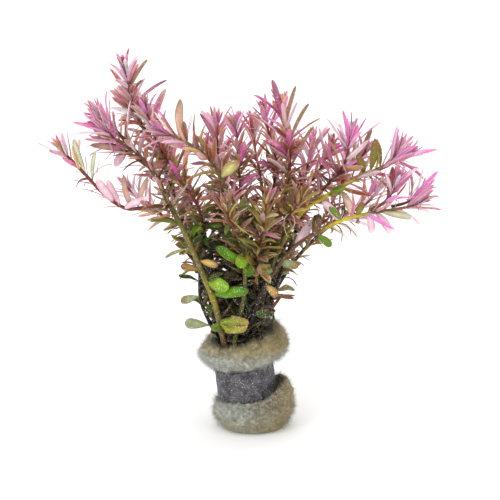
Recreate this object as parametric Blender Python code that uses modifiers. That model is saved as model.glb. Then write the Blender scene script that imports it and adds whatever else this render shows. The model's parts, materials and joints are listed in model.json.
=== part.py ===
"""A bunch of rotala: rooted stems with opposite leaves, their feet rolled in a strip of foam that a lead
ribbon pinches at the waist. Lengths are in millimetres until a mesh is written, and the origin is the centre
of the foam's flat sole. Every stem is grown by extruding one prism, its leaves extruded from its sides."""

import math
from collections import namedtuple

import bmesh
import bpy
import numpy as np
from mathutils.bvhtree import BVHTree

MM = 0.001
UP = np.array([0.0, 0.0, 1.0])
GAP = 0.35

# The wrapped foot leans towards -X, and its heights below run along the leaning axis.
BASE_LEAN = math.radians(8.0)
LEVEL_HEIGHT = 7.0
WAIST_RADIUS = 9.35
WAIST_BOTTOM = 11.4
WAIST_TOP = 24.0
LIP_RADIUS = 12.1
POCKET_RADIUS = 8.0
POCKET_FLOOR = 2.2
MOUTH_HEIGHT = 34.0
MOUTH_SPREAD = 1.32
MOUTH_RADIUS = 10.8
FOOT_RADIUS = 11.7
FOAM_STEPS = 26

# The foam's uneven shape: how far its collars bulge to the right, and how far a fold of it climbs there.
LOWER_BULGE = 1.4
UPPER_BULGE = 0.9
FOLD_RISE = 3.6

# The lead ribbon
RIBBON_THICKNESS = 0.7
RIBBON_PITCH = 0.85
RIBBON_TURNS = 1.3
RIBBON_END_ANGLE = math.radians(-62.0)

# Stems keep this much between their surfaces, and a growing tip is the last whorls of a stem.
STEM_GAP = 0.85
PATH_SPACING = 2.0
SQUARE_CORNER = 1.12
APEX_RING = 0.9
MOST_BEND = 0.3

# A whorl is the stretch between two rings, counted from the tip, with a leaf on each of its four sides.
Whorl = namedtuple("Whorl", "near far length width pitch")
WHORLS = (
    Whorl(0.9, 2.4, 7.5, 0.0, 7.0),
    Whorl(2.4, 4.4, 10.5, 2.2, 14.0),
    Whorl(4.4, 7.0, 12.6, 2.6, 25.0),
)
PAIR_DISTANCES = (10.0, 14.5, 20.0, 26.5, 34.0, 43.0)
PAIR_LENGTHS = (13.2, 12.8, 12.2, 11.2, 10.2, 9.2)
PAIR_PITCHES = (36.0, 43.0, 50.0, 58.0, 67.0, 76.0)
PAIR_HALF_HEIGHT = 0.55
PAIR_WIDTH = 2.8
LEAF_MIDDLE = 0.42
LONG_BOW = 0.06
LEAF_THICKNESS = 0.5
LEAF_CLEARANCE = 0.3
TUBE_MARGIN = 0.15

# Changes of pitch, swing and length that a leaf tries in turn, until it is clear of everything else.
ATTEMPTS = (
    (0, 0, 1.0),
    (14, 0, 1.0),
    (-11, 0, 1.0),
    (0, 24, 1.0),
    (0, -24, 1.0),
    (18, 20, 0.9),
    (18, -20, 0.9),
    (-14, 18, 0.85),
    (-14, -18, 0.85),
    (28, 34, 0.8),
    (28, -34, 0.8),
    (6, 0, 0.62),
)

Stem = namedtuple("Stem", "slot radii leafy size turn route")
Side = namedtuple("Side", "parent radii leafy size turn route")
Long = namedtuple("Long", "stem distance reach width")
Broad = namedtuple("Broad", "stem height reach width face")

# slot is the radius and angle at which the stem stands in the foam, and route is where it goes from there.
# radii are the stem's at its foot and its tip, leafy is how far down from the tip its pairs of leaves go.
STEMS = {
    "stem_left_thick": Stem((6.1, 225), (1.4, 0.6), 52, 1.0, 10, (
        (-14, -11, 50), (-18, -12.5, 61), (-23.6, -13.5, 75), (-30.4, -13.5, 88.5), (-36, -12, 99.8),
        (-45, -8.5, 109.5), (-56, -5, 120),
    )),
    "stem_left_dark": Stem((6.1, 195), (0.9, 0.45), 40, 0.95, 35, (
        (-18.7, -4, 47.5), (-19.5, -5, 59), (-18.2, -5, 72), (-19.9, -5, 85), (-26, -5, 94.4),
        (-32, -3.5, 104), (-36.6, -2, 113), (-39.4, 0, 121.8),
    )),
    "stem_left_tallest": Stem((6.1, 165), (1.0, 0.5), 52, 1.0, 55, (
        (-18, 5, 54.5), (-25.5, 7, 75), (-31, 7.5, 92.7), (-36, 8, 105), (-42.4, 8, 116.6),
        (-45, 8, 125), (-46.5, 8, 134.5),
    )),
    "stem_left_arching": Stem((6.1, 255), (1.1, 0.5), 32, 1.05, 20, (
        (-3.5, -12, 52), (-3, -14, 67), (-5, -17, 82), (-8.6, -19, 94), (-14.3, -20, 104.7),
        (-22, -19.5, 111.5), (-33, -18, 116.5),
    )),
    "stem_middle_rosette": Stem((3.1, 140), (0.8, 0.5), 24, 0.9, 15, (
        (-9, 9, 60), (-11, 12, 85), (-13, 14, 103), (-13.5, 14, 113.2),
    )),
    "stem_middle_upright": Stem((0.0, 0), (0.8, 0.45), 32, 0.85, 60, (
        (-3.5, 1, 60), (-4.5, 2, 88), (-6.4, 3, 115.6),
    )),
    "stem_middle_tall": Stem((3.1, 310), (0.95, 0.55), 41, 1.05, 30, (
        (3.4, -6, 63), (8.6, -7, 83), (12.8, -7, 96.6), (13.1, -7, 106.3), (11.3, -6, 116.4),
        (9.8, -6, 124.2),
    )),
    "stem_middle_slender": Stem((3.1, 80), (0.75, 0.4), 32, 0.8, 5, (
        (3.5, 7, 62), (7.5, 9, 88), (8.3, 10, 100), (5.6, 10, 110.5), (3.6, 10, 118.5),
    )),
    "stem_right_upright": Stem((3.1, 25), (0.8, 0.45), 32, 1.05, 40, (
        (8, 10, 60), (16.1, 13, 85), (20, 14, 95), (22.3, 14, 105.3),
    )),
    "stem_right_dark": Stem((6.1, 15), (0.8, 0.4), 32, 0.8, 70, (
        (10, 2.5, 62), (16.8, 3.5, 84), (25.1, 4, 98), (29.3, 4, 106.8),
    )),
    "stem_right_star": Stem((6.1, 345), (0.95, 0.55), 24, 1.1, 25, (
        (11, -4, 62), (18.6, -4.5, 83), (27, -4.5, 93.2), (33.4, -4.5, 101.5), (35.6, -4, 112.5),
    )),
    "stem_right_yellow": Stem((6.1, 315), (1.2, 0.65), 32, 1.0, 0, (
        (3.5, -9, 52), (8.3, -10, 68), (17.6, -10, 84.2), (27, -9, 90.5), (38.3, -7, 96.6),
        (49.5, -4, 101.2), (53.6, -2, 106.4),
    )),
    "stem_right_low": Stem((6.1, 285), (1.1, 0.55), 41, 1.0, 45, (
        (3.4, -12, 55), (13.9, -13, 71), (24.4, -14, 78.3), (34.5, -15, 83.5), (45.8, -15, 85.9),
        (55.1, -14, 87.2), (61, -13, 89),
    )),
    "stem_back_left": Stem((6.1, 135), (0.95, 0.5), 32, 1.0, 30, (
        (-16, 18, 62), (-26, 29, 84), (-33, 36, 98),
    )),
    "stem_back_middle": Stem((6.1, 105), (0.95, 0.5), 24, 1.0, 50, (
        (-8, 20, 62), (-12, 31, 82), (-14, 38, 97),
    )),
    "stem_back_tall": Stem((6.1, 75), (0.95, 0.5), 24, 1.0, 15, (
        (4, 20, 64), (9, 33, 86), (12, 41, 98),
    )),
    "stem_back_right": Stem((6.1, 45), (0.95, 0.5), 24, 1.0, 65, (
        (14, 12, 58), (30, 19, 73), (42, 23, 79), (48, 25, 85),
    )),
    "stem_front_short": Stem((3.1, 250), (0.85, 0.5), 32, 0.95, 35, (
        (0, -9, 52), (1.5, -15, 68), (3.8, -21, 83), (5, -25, 94),
    )),
}

# The first point of a side shoot's route is about where it leaves its parent.
SIDES = {
    "shoot_far_left": Side("stem_left_thick", (0.75, 0.5), 10, 0.95, 20, (
        (-30.4, -13.5, 88), (-36.8, -16, 88.1), (-45.4, -18, 87.8), (-52.9, -19, 92.8),
        (-61.1, -19, 101.7), (-69, -18, 110),
    )),
    "shoot_left_upper": Side("stem_left_thick", (0.65, 0.5), 10, 1.05, 60, (
        (-44, -9, 108), (-49.5, -11.5, 112), (-55.5, -13.5, 117.5),
    )),
    "shoot_left_lower": Side("stem_left_thick", (0.6, 0.45), 10, 0.95, 35, (
        (-39, -10.5, 103), (-46, -5, 106), (-54.5, -1, 109.5),
    )),
    "shoot_tallest_side": Side("stem_left_tallest", (0.6, 0.45), 10, 0.9, 0, (
        (-39.5, 8, 111), (-43.5, 12, 114.5), (-47.5, 15, 120.5),
    )),
    "shoot_yellow_side": Side("stem_right_yellow", (0.7, 0.5), 0, 1.1, 20, (
        (46, -5, 100), (51.5, -2, 101.2), (57, 1.5, 103.4),
    )),
    "shoot_low_right_inner": Side("stem_right_low", (0.65, 0.45), 10, 1.0, 30, (
        (44, -15, 85.5), (48.5, -17, 91), (52, -18, 99),
    )),
    "shoot_low_right_end": Side("stem_right_low", (0.6, 0.45), 0, 1.0, 50, (
        (52, -14, 87), (56.5, -11.5, 88.8), (61.5, -9, 92),
    )),
    "shoot_back_right_side": Side("stem_back_right", (0.65, 0.45), 15, 1.0, 25, (
        (22, 16, 66), (28, 24, 76), (33, 32, 85), (35, 37, 92),
    )),
    "shoot_back_left_side": Side("stem_back_left", (0.65, 0.45), 22, 1.0, 55, (
        (-18, 20, 66), (-28, 21.5, 72), (-39, 23, 78), (-47, 23, 86),
    )),
    "shoot_slender_back": Side("stem_middle_slender", (0.6, 0.45), 22, 0.9, 40, (
        (6, 8.5, 78), (3, 16, 90), (0.5, 24, 102), (0, 28, 110),
    )),
    "shoot_tall_front": Side("stem_middle_tall", (0.65, 0.45), 15, 0.9, 10, (
        (6, -6.5, 74), (11, -12, 82), (16, -18, 89), (18.5, -21, 94.5),
    )),
    "shoot_arching_front": Side("stem_left_arching", (0.65, 0.45), 10, 0.9, 60, (
        (-4, -16, 76), (-7, -22, 82), (-9, -27, 87.5), (-9.5, -30, 92),
    )),
    "shoot_star_side": Side("stem_right_star", (0.65, 0.45), 0, 0.95, 35, (
        (31, -4.5, 97), (36.5, -0.5, 99.5), (42, 3, 105),
    )),
}

# How many times wider or closer than the others' some growing tips spread.
WIDE_TIPS = {
    "stem_right_star": 1.9,
    "shoot_left_upper": 1.15,
    "shoot_left_lower": 1.3,
    "shoot_yellow_side": 1.3,
    "shoot_far_left": 0.55,
    "stem_left_tallest": 0.6,
    "stem_right_low": 0.75,
}

# Narrow leaves that stand out, and a cut side stem on stem_right_low: how far from the stem's tip each grows,
# its own tip from there, its width.
LONG_LEAVES = (
    Long("stem_left_tallest", 8, (6.8, 1, 10.4), 2.2),
    Long("stem_left_tallest", 10, (4.9, -3, 5.8), 2.0),
    Long("stem_left_tallest", 14.5, (12.4, 3, 8.9), 1.6),
    Long("stem_left_tallest", 14.5, (-8.6, -2, 6), 2.4),
    Long("stem_left_dark", 8, (5.6, -2, 14.5), 3.2),
    Long("stem_left_dark", 30, (-3.8, -4, 8.1), 3.0),
    Long("stem_left_arching", 8, (-0.3, 2, 14.4), 4.0),
    Long("stem_left_arching", 10, (-0.8, -1, 7.8), 3.6),
    Long("stem_left_arching", 14.5, (-9.5, -2, 1.6), 2.4),
    Long("stem_left_arching", 28, (6.6, -2, 6.2), 3.6),
    Long("shoot_left_lower", 8, (-11.2, -2, 1.7), 3.0),
    Long("shoot_left_lower", 10, (-4, -3, -5.2), 3.4),
    Long("shoot_far_left", 12.2, (-3.5, 1, 12.3), 2.6),
    Long("shoot_far_left", 16.2, (1.7, -1, 11.3), 2.0),
    Long("shoot_far_left", 26.5, (-5.1, -3, 8.8), 3.4),
    Long("shoot_far_left", 29.5, (-4, 2, 8.9), 2.8),
    Long("shoot_far_left", 32, (8.9, -3, 4.7), 3.0),
    Long("shoot_far_left", 34.5, (-2.8, -2, 13.2), 2.8),
    Long("shoot_far_left", 37, (3.5, 1, 11.5), 2.4),
    Long("stem_middle_rosette", 8, (-6.5, -1, 11), 2.2),
    Long("stem_middle_rosette", 23, (6.5, -3, 5.5), 2.6),
    Long("stem_middle_upright", 16.5, (2.2, -3, 9.6), 3.6),
    Long("stem_middle_upright", 24, (6.5, -3, 5), 2.8),
    Long("stem_middle_upright", 28, (-4.5, -4, 7), 2.6),
    Long("stem_middle_upright", 33, (6, -4, 6.5), 2.6),
    Long("stem_middle_slender", 24, (-6.5, -4, 4.5), 2.8),
    Long("stem_middle_tall", 8, (-4.5, -2, 16.6), 3.8),
    Long("stem_middle_tall", 8, (4.1, 1, 13.8), 2.6),
    Long("stem_middle_tall", 14.5, (7.6, 0, 14), 2.4),
    Long("stem_middle_tall", 17, (0, -4, 8.1), 2.8),
    Long("stem_middle_tall", 20, (-7.6, -3, 6.7), 2.8),
    Long("stem_middle_tall", 23.5, (8.4, 1, 14.2), 2.4),
    Long("shoot_star_side", 8, (6.8, 1, 13.7), 3.0),
    Long("stem_right_yellow", 10.5, (-2.5, 2, 10.5), 3.0),
    Long("stem_right_yellow", 14.5, (1, -2, 12.3), 3.8),
    Long("stem_right_yellow", 17, (-4.3, -2, 9.7), 3.6),
    Long("shoot_low_right_inner", 8, (1.1, 0, 11.6), 2.8),
    Long("stem_right_low", 14.5, (10.1, -2, -2.2), 3.2),
    Long("stem_right_low", 17, (4.9, 2, -8.3), 3.2),
    Long("stem_right_low", 20, (1.1, 1, -7.6), 3.0),
    Long("stem_right_low", 26, (-3.5, 4, 8.5), 3.4),
    Long("stem_right_low", 31, (-6, 4, 6.5), 3.6),
    Long("stem_right_low", 40.5, (0.4, -0.5, 7), 2.2),
    Long("stem_right_low", 49, (5, 6, 7.5), 4.0),
)

# Old broad leaves: the height on the stem where each grows, its tip from there, its width, where it faces.
UPWARD = (0, -0.5, 1)
FORWARD = (0.1, -1, 0.3)
BROAD_LEAVES = (
    Broad("stem_left_thick", 82, (-10.5, -1, 0.8), 3.6, UPWARD),
    Broad("stem_left_thick", 72, (-9.5, -2, -3.5), 2.0, UPWARD),
    Broad("stem_left_dark", 62, (-7.2, 0, 1.5), 3.6, FORWARD),
    Broad("stem_left_dark", 57, (-9.2, -2, 3.5), 3.4, UPWARD),
    Broad("stem_left_dark", 51, (-7.2, 1, -2.5), 3.8, FORWARD),
    Broad("stem_left_dark", 39.5, (-9.5, -2, 1), 4.8, FORWARD),
    Broad("stem_left_thick", 49, (-3.5, -4, -2.5), 3.4, FORWARD),
    Broad("stem_left_thick", 60, (8.5, -3, -2), 4.8, FORWARD),
    Broad("stem_left_thick", 66, (7.5, -2, -1), 3.6, FORWARD),
    Broad("stem_left_arching", 66, (-10.5, -3, 7), 4.4, FORWARD),
    Broad("stem_left_thick", 53, (13.5, -4.5, 3), 4.8, FORWARD),
    Broad("stem_left_arching", 68, (4, -4, -5.5), 4.8, FORWARD),
    Broad("stem_left_arching", 70.5, (-4.5, -6.5, -3.5), 4.2, FORWARD),
    Broad("stem_left_dark", 79, (-3.8, -4, -5.5), 4.0, FORWARD),
    Broad("stem_left_dark", 77, (7, -3, 1.6), 3.2, UPWARD),
    Broad("stem_left_arching", 78, (-5.5, -2, 4), 3.2, UPWARD),
    Broad("stem_right_low", 62, (-10.5, -8.5, 5), 4.8, FORWARD),
    Broad("stem_right_yellow", 66, (7.5, -4.5, -3), 3.8, FORWARD),
    Broad("stem_left_thick", 42, (10.3, -8.5, 1.5), 6.0, FORWARD),
    Broad("stem_right_low", 58, (4.5, -3, -3.5), 3.8, FORWARD),
    Broad("stem_right_star", 52, (7.5, -2, -1), 2.0, FORWARD),
    Broad("stem_right_dark", 48, (9.5, 1, 1.5), 2.2, UPWARD),
    Broad("stem_right_low", 78, (5, -2, -4.5), 3.6, FORWARD),
    Broad("stem_right_low", 82.5, (-4.5, -1, 5.5), 2.6, FORWARD),
    Broad("stem_right_low", 84.6, (1.9, -1, 5.3), 3.2, FORWARD),
    Broad("stem_back_left", 52, (-8, 4, 2), 4.4, UPWARD),
    Broad("stem_back_middle", 56, (-4, 8, 2), 4.6, UPWARD),
    Broad("stem_back_tall", 52, (3, 8.5, 1), 4.6, UPWARD),
    Broad("stem_back_tall", 62, (7, 5, 0), 4.0, UPWARD),
    Broad("stem_back_right", 50, (7, 5, -1), 4.4, UPWARD),
    Broad("stem_back_middle", 45, (-7, 5, -1.5), 4.6, UPWARD),
    Broad("stem_right_star", 44, (5.5, -2, 8), 1.6, UPWARD),
    Broad("stem_right_low", 46, (6, -5, 1), 4.2, FORWARD),
    Broad("stem_left_tallest", 45, (-8, 3, 2.5), 4.2, UPWARD),
    Broad("stem_left_tallest", 66, (-7, 4, 2), 3.8, UPWARD),
    Broad("stem_left_thick", 39.5, (-3.5, -6, 2), 4.0, FORWARD),
    Broad("stem_right_dark", 58, (7, 3, 2), 3.6, UPWARD),
    Broad("stem_back_left", 43, (-5, 7, 2), 4.4, UPWARD),
)


def leaned(points):
    """Points given upright in the foot's own frame, turned with its leaning axis, the lowest kept level."""
    x, y, height = np.asarray(points, float).reshape(-1, 3).T
    level = np.clip(height / LEVEL_HEIGHT, 0, 1)
    return np.stack([
        x * math.cos(BASE_LEAN) - height * math.sin(BASE_LEAN),
        y,
        height * (1 - level + level * math.cos(BASE_LEAN)) + level * x * math.sin(BASE_LEAN),
    ], axis=1)


def unleaned(points):
    """The reverse of leaned, for points above the level part."""
    x, y, z = np.asarray(points, float).T
    return np.stack([
        x * math.cos(BASE_LEAN) + z * math.sin(BASE_LEAN),
        y,
        z * math.cos(BASE_LEAN) - x * math.sin(BASE_LEAN),
    ], axis=1)


def unit(vectors):
    vectors = np.asarray(vectors, float)
    return vectors / np.linalg.norm(vectors, axis=-1, keepdims=True)


def lengths_along(path):
    steps = np.linalg.norm(np.diff(path, axis=0), axis=1)
    return np.concatenate([[0.0], np.cumsum(steps)])


def smooth_path(points):
    """Points at an even spacing on a Catmull-Rom curve through the given ones."""
    points = np.asarray(points, float)
    knots = np.vstack([2 * points[0] - points[1], points, 2 * points[-1] - points[-2]])
    t = np.linspace(0, 1, 24, endpoint=False)[:, None]
    spans = [
        0.5 * (2 * b + (c - a) * t + (2 * a - 5 * b + 4 * c - d) * t**2 + (3 * b - a - 3 * c + d) * t**3)
        for a, b, c, d in zip(knots, knots[1:], knots[2:], knots[3:])
    ]
    curve = np.vstack([*spans, points[-1:]])
    along = lengths_along(curve)
    wanted = np.linspace(0, along[-1], max(int(round(along[-1] / PATH_SPACING)), 3) + 1)
    return np.stack([np.interp(wanted, along, curve[:, k]) for k in range(3)], axis=1)


def radii_along(path, radii):
    along = lengths_along(path)
    return radii[0] + (radii[1] - radii[0]) * along / along[-1]


def stem_start(slot):
    """The points of a stem inside the foam: upright in its slot, and spreading at the mouth."""
    radius, angle = slot[0], math.radians(slot[1])
    heights = np.array([POCKET_FLOOR + 1.5, 12.0, 22.0, MOUTH_HEIGHT])
    spread = radius * np.array([1.0, 1.0, 1.03, MOUTH_SPREAD])
    return leaned(np.stack([spread * math.cos(angle), spread * math.sin(angle), heights], axis=1))


def kept_in_pocket(points, radii):
    """Moves points inside the foam in from its wall."""
    local = unleaned(points)
    inside = local[:, 2] < MOUTH_HEIGHT + 2
    most = np.interp(local[:, 2], [24, MOUTH_HEIGHT], [POCKET_RADIUS, MOUTH_RADIUS]) - radii - GAP - 0.1
    distance = np.maximum(np.linalg.norm(local[:, :2], axis=1), 1e-6)
    share = np.where(inside, np.minimum(1, most / distance), 1)
    local[:, :2] *= share[:, None]
    x, y, height = local.T
    return np.stack([
        x * math.cos(BASE_LEAN) - height * math.sin(BASE_LEAN),
        y,
        height * math.cos(BASE_LEAN) + x * math.sin(BASE_LEAN),
    ], axis=1)


def kept_apart(paths, radii, still, still_radii, rounds=70):
    """Pushes stems apart where two come closer than STEM_GAP. Each point moves by the sum of its pushes, the
    moves are smoothed along the stem, and the points in still, which belong to other stems, stay."""
    first = np.vstack(paths)
    radius = np.concatenate(radii)
    owner = np.concatenate([np.full(len(path), k) for k, path in enumerate(paths)])
    place = np.concatenate([np.arange(len(path)) for path in paths])
    last = np.concatenate([np.full(len(path), len(path) - 1) for path in paths])
    held = place < 2
    rooted = not len(still)
    others = np.vstack([first, still]) if len(still) else first
    other_radius = np.concatenate([radius, still_radii])
    stranger = owner[:, None] != np.concatenate([owner, np.full(len(still), -1)])[None]
    if not rooted:
        stranger[place < 3, len(first):] = False
    moved = first.copy()
    for _ in range(rounds):
        others[: len(moved)] = moved
        apart = moved[:, None] - others[None]
        distance = np.maximum(np.linalg.norm(apart, axis=2), 1e-6)
        lacking = radius[:, None] + other_radius[None] + STEM_GAP - distance
        push = np.where(stranger & (lacking > 0), 0.5 * lacking / distance, 0)
        change = moved - first + 0.7 * (push[:, :, None] * apart).sum(axis=1)
        before = change[np.maximum(np.arange(len(change)) - 1, 0)]
        after = change[np.minimum(np.arange(len(change)) + 1, len(change) - 1)]
        inner = (place > 0) & (place < last)
        change[inner] += 0.25 * (0.5 * (before + after) - change)[inner]
        change[held] = 0
        moved = first + change
        if rooted:
            moved = kept_in_pocket(moved, radius)
    return [moved[owner == k] for k in range(len(paths))]


def fork_start(parent_path, parent_radii, route, radius):
    """The side shoot's own points: it begins just clear of its parent's surface."""
    nearest = int(np.argmin(np.linalg.norm(parent_path - np.array(route[0], float), axis=1)))
    nearest = min(max(nearest, 1), len(parent_path) - 2)
    along = unit(parent_path[nearest + 1] - parent_path[nearest - 1])
    towards = np.array(route[1], float) - parent_path[nearest]
    outward = unit(towards - along * np.dot(towards, along))
    clear = SQUARE_CORNER * (parent_radii[nearest] + radius) + GAP
    return parent_path[nearest] + clear * outward


def all_paths():
    """Every stem's and side shoot's centre line and radii, by name."""
    names = list(STEMS)
    paths = [smooth_path(np.vstack([stem_start(s.slot), s.route])) for s in STEMS.values()]
    radii = [radii_along(path, s.radii) for path, s in zip(paths, STEMS.values())]
    paths = kept_apart(paths, radii, np.empty((0, 3)), np.empty(0))
    settled = {name: (path, radius) for name, path, radius in zip(names, paths, radii)}
    still = np.vstack([path for path, _ in settled.values()])
    still_radii = np.concatenate([radius for _, radius in settled.values()])
    paths = []
    for side in SIDES.values():
        start = fork_start(*settled[side.parent], side.route, side.radii[0])
        paths.append(smooth_path(np.vstack([start, side.route[1:]])))
    radii = [radii_along(path, side.radii) for path, side in zip(paths, SIDES.values())]
    paths = kept_apart(paths, radii, still, still_radii)
    settled.update({name: (path, radius) for name, path, radius in zip(SIDES, paths, radii)})
    return settled


class Course:
    """A stem's centre line read by distance from its tip: point, tangent, outward and sideways vectors."""

    def __init__(self, path, radii, turn):
        self.path = path
        self.radii = radii
        self.along = lengths_along(path)
        self.length = self.along[-1]
        bow = path[-1] - path[0]
        self.level = unit(np.cross(bow, UP))
        self.turn = math.radians(turn)

    def at(self, distance):
        s = self.length - distance
        point = np.array([np.interp(s, self.along, self.path[:, k]) for k in range(3)])
        ahead = np.array([np.interp(s + 1.5, self.along, self.path[:, k]) for k in range(3)])
        behind = np.array([np.interp(s - 1.5, self.along, self.path[:, k]) for k in range(3)])
        tangent = unit(ahead - behind)
        level = unit(self.level - tangent * np.dot(self.level, tangent))
        across = np.cross(tangent, level)
        outward = math.cos(self.turn) * level + math.sin(self.turn) * across
        radius = float(np.interp(s, self.along, self.radii))
        return point, tangent, outward, np.cross(tangent, outward), radius

    def distance_at_height(self, height):
        nearest = int(np.argmin(np.abs(self.path[:, 2] - height)))
        return self.length - self.along[nearest]


class Leaf:
    """A leaf as its midrib's base, sections and tip. Each section is (centre, width, across, normal)."""

    def __init__(self, node, quarter, base, sections, tip):
        self.node = node
        self.quarter = quarter
        self.base = base
        self.sections = sections
        self.tip = tip


def side_of(outward, sideways, quarter):
    """The outward vector of one of the stem's four sides."""
    return (outward, sideways, -outward, -sideways)[quarter]


def turned_to(vector, other, angle):
    return math.cos(angle) * vector + math.sin(angle) * other


def narrow_leaf(course, node, quarter, length, width, pitch, habit, attempt):
    """A narrow leaf: it rises from the stem at pitch, and its outer half bends away by the habit's curl."""
    near, far = node
    more_pitch, swing, shorter = ATTEMPTS[attempt]
    point, tangent, outward, sideways, radius = course.at(0.5 * (near + far))
    out = side_of(outward, sideways, quarter)
    beside = np.cross(tangent, out)
    away = turned_to(out, beside, math.radians(swing + habit["swing"]))
    across = unit(np.cross(tangent, away))
    length = length * shorter * habit["size"]
    first = math.radians(pitch + more_pitch + habit["pitch"])
    second = first + math.radians(habit["curl"])
    rising = unit(turned_to(tangent, away, first) + habit["lift"] * UP)
    ending = unit(turned_to(tangent, away, second) + habit["lift"] * UP)
    base = point + radius * out
    middle = base + LEAF_MIDDLE * length * rising
    tip = middle + (1 - LEAF_MIDDLE) * length * ending
    normal = unit(np.cross(unit(rising + ending), across))
    across, normal = (
        turned_to(across, normal, math.radians(habit["roll"])),
        turned_to(normal, -across, math.radians(habit["roll"])),
    )
    sections = [] if width == 0 else [(middle, width, across, normal)]
    return Leaf(node, quarter, base, sections, tip)


def quarter_towards(outward, sideways, reach):
    """The side of the stem that faces the way a leaf reaches."""
    return int(np.argmax([np.dot(side_of(outward, sideways, q), reach) for q in range(4)]))


def long_leaf(course, node, long, attempt):
    """A narrow leaf with a tip of its own: it sets out a little nearer to the stem than its tip lies."""
    _, swing, shorter = ATTEMPTS[attempt]
    point, tangent, outward, sideways, radius = course.at(0.5 * (node[0] + node[1]))
    reach = np.array(long.reach, float) * shorter
    reach = turned_to(reach, np.cross(unit(reach), UP) * np.linalg.norm(reach), 0.5 * math.radians(swing))
    quarter = quarter_towards(outward, sideways, reach)
    base = point + radius * side_of(outward, sideways, quarter)
    tip = point + reach
    aim = unit(tip - base)
    across = unit(np.cross(np.array(FORWARD, float), aim))
    middle = base + LEAF_MIDDLE * (tip - base) + LONG_BOW * np.linalg.norm(reach) * tangent
    return Leaf(node, quarter, base, [(middle, long.width, across, np.cross(aim, across))], tip)


def broad_leaf(course, node, broad, attempt):
    """A broad old leaf: a short stalk, then a blade at its widest a little past the middle."""
    _, swing, shorter = ATTEMPTS[attempt]
    point, tangent, outward, sideways, radius = course.at(0.5 * (node[0] + node[1]))
    reach = np.array(broad.reach, float) * shorter
    level = np.cross(UP, reach)
    reach = turned_to(reach, level, math.radians(swing))
    quarter = quarter_towards(outward, sideways, reach)
    base = point + radius * side_of(outward, sideways, quarter)
    tip = point + reach
    aim = unit(tip - base)
    across = unit(np.cross(np.array(broad.face, float), aim))
    normal = np.cross(aim, across)
    sag = 0.06 * np.linalg.norm(reach) * normal
    sections = [
        (base + 0.36 * (tip - base) + 0.8 * sag, 0.82 * broad.width, across, normal),
        (base + 0.72 * (tip - base) + 0.8 * sag, 0.94 * broad.width, across, normal),
    ]
    return Leaf(node, quarter, base, sections, tip)


def habits(seed):
    """Endless small differences between leaves, the same on every run."""
    chance = np.random.default_rng(seed)
    while True:
        size, pitch, swing, curl, roll, lift = chance.uniform(-1, 1, 6)
        yield {
            "size": 1 + 0.14 * size,
            "pitch": 7 * pitch,
            "swing": 12 * swing,
            "curl": 7 + 13 * curl,
            "roll": 34 * roll,
            "lift": 0.16 + 0.12 * lift,
        }


def leaf_choices(name, plant, course, long, broad):
    """For each leaf, the long ones first, a function that gives its shape at an attempt."""
    habit_of = habits(sum(map(ord, name)))
    choices = []
    for leaf in long:
        node = (leaf.distance - PAIR_HALF_HEIGHT, leaf.distance + PAIR_HALF_HEIGHT)
        choices.append(lambda k, n=node, b=leaf: long_leaf(course, n, b, k))
    for whorl in WHORLS:
        node = (whorl.near, whorl.far)
        size = (whorl.length * plant.size, whorl.width * plant.size, whorl.pitch * WIDE_TIPS.get(name, 1.0))
        for quarter in range(4):
            habit = next(habit_of)
            choices.append(lambda k, n=node, q=quarter, s=size, h=habit: narrow_leaf(course, n, q, *s, h, k))
    for rank, distance in enumerate(PAIR_DISTANCES):
        for quarter in (rank % 2, rank % 2 + 2):
            habit = next(habit_of)
            if distance > plant.leafy or distance > course.length - 4:
                continue
            node = (distance - PAIR_HALF_HEIGHT, distance + PAIR_HALF_HEIGHT)
            size = (PAIR_LENGTHS[rank] * plant.size, PAIR_WIDTH * plant.size, PAIR_PITCHES[rank])
            choices.append(lambda k, n=node, q=quarter, s=size, h=habit: narrow_leaf(course, n, q, *s, h, k))
    for leaf in broad:
        middle = course.distance_at_height(leaf.height)
        node = (middle - PAIR_HALF_HEIGHT, middle + PAIR_HALF_HEIGHT)
        choices.append(lambda k, n=node, b=leaf: broad_leaf(course, n, b, k))
    return choices


def corners(section, grow=0.0):
    """A section's four corners, in order round the leaf."""
    centre, width, across, normal = section
    half_width = 0.5 * width + grow
    half_thickness = 0.5 * LEAF_THICKNESS + grow
    signs = ((-1, -1), (1, -1), (1, 1), (-1, 1))
    return [centre + a * half_width * across + b * half_thickness * normal for a, b in signs]


def leaf_tree(leaf):
    """The leaf's surface, a little swollen and without its root, for finding what it would touch."""
    aim = unit(leaf.tip - leaf.base)
    sections = leaf.sections
    if not sections:
        across = unit(np.cross(aim, UP + 0.01))
        sections = [(0.5 * (leaf.base + leaf.tip), 0.4, across, np.cross(aim, across))]
    first = sections[0]
    root = (leaf.base + 0.45 * (first[0] - leaf.base), 0.5 * first[1], first[2], first[3])
    points = []
    for section in (root, *sections):
        points += corners(section, LEAF_CLEARANCE)
    points.append(leaf.tip + LEAF_CLEARANCE * aim)
    faces = [(3, 2, 1, 0)]
    for ring in range(len(sections)):
        faces += [(4 * ring + k, 4 * ring + (k + 1) % 4, 4 * ring + 4 + (k + 1) % 4, 4 * ring + 4 + k)
                  for k in range(4)]
    end = 4 * len(sections)
    faces += [(end + k, end + (k + 1) % 4, end + 4) for k in range(4)]
    points = np.array(points)
    return BVHTree.FromPolygons(points.tolist(), faces), points.min(axis=0), points.max(axis=0)


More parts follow.
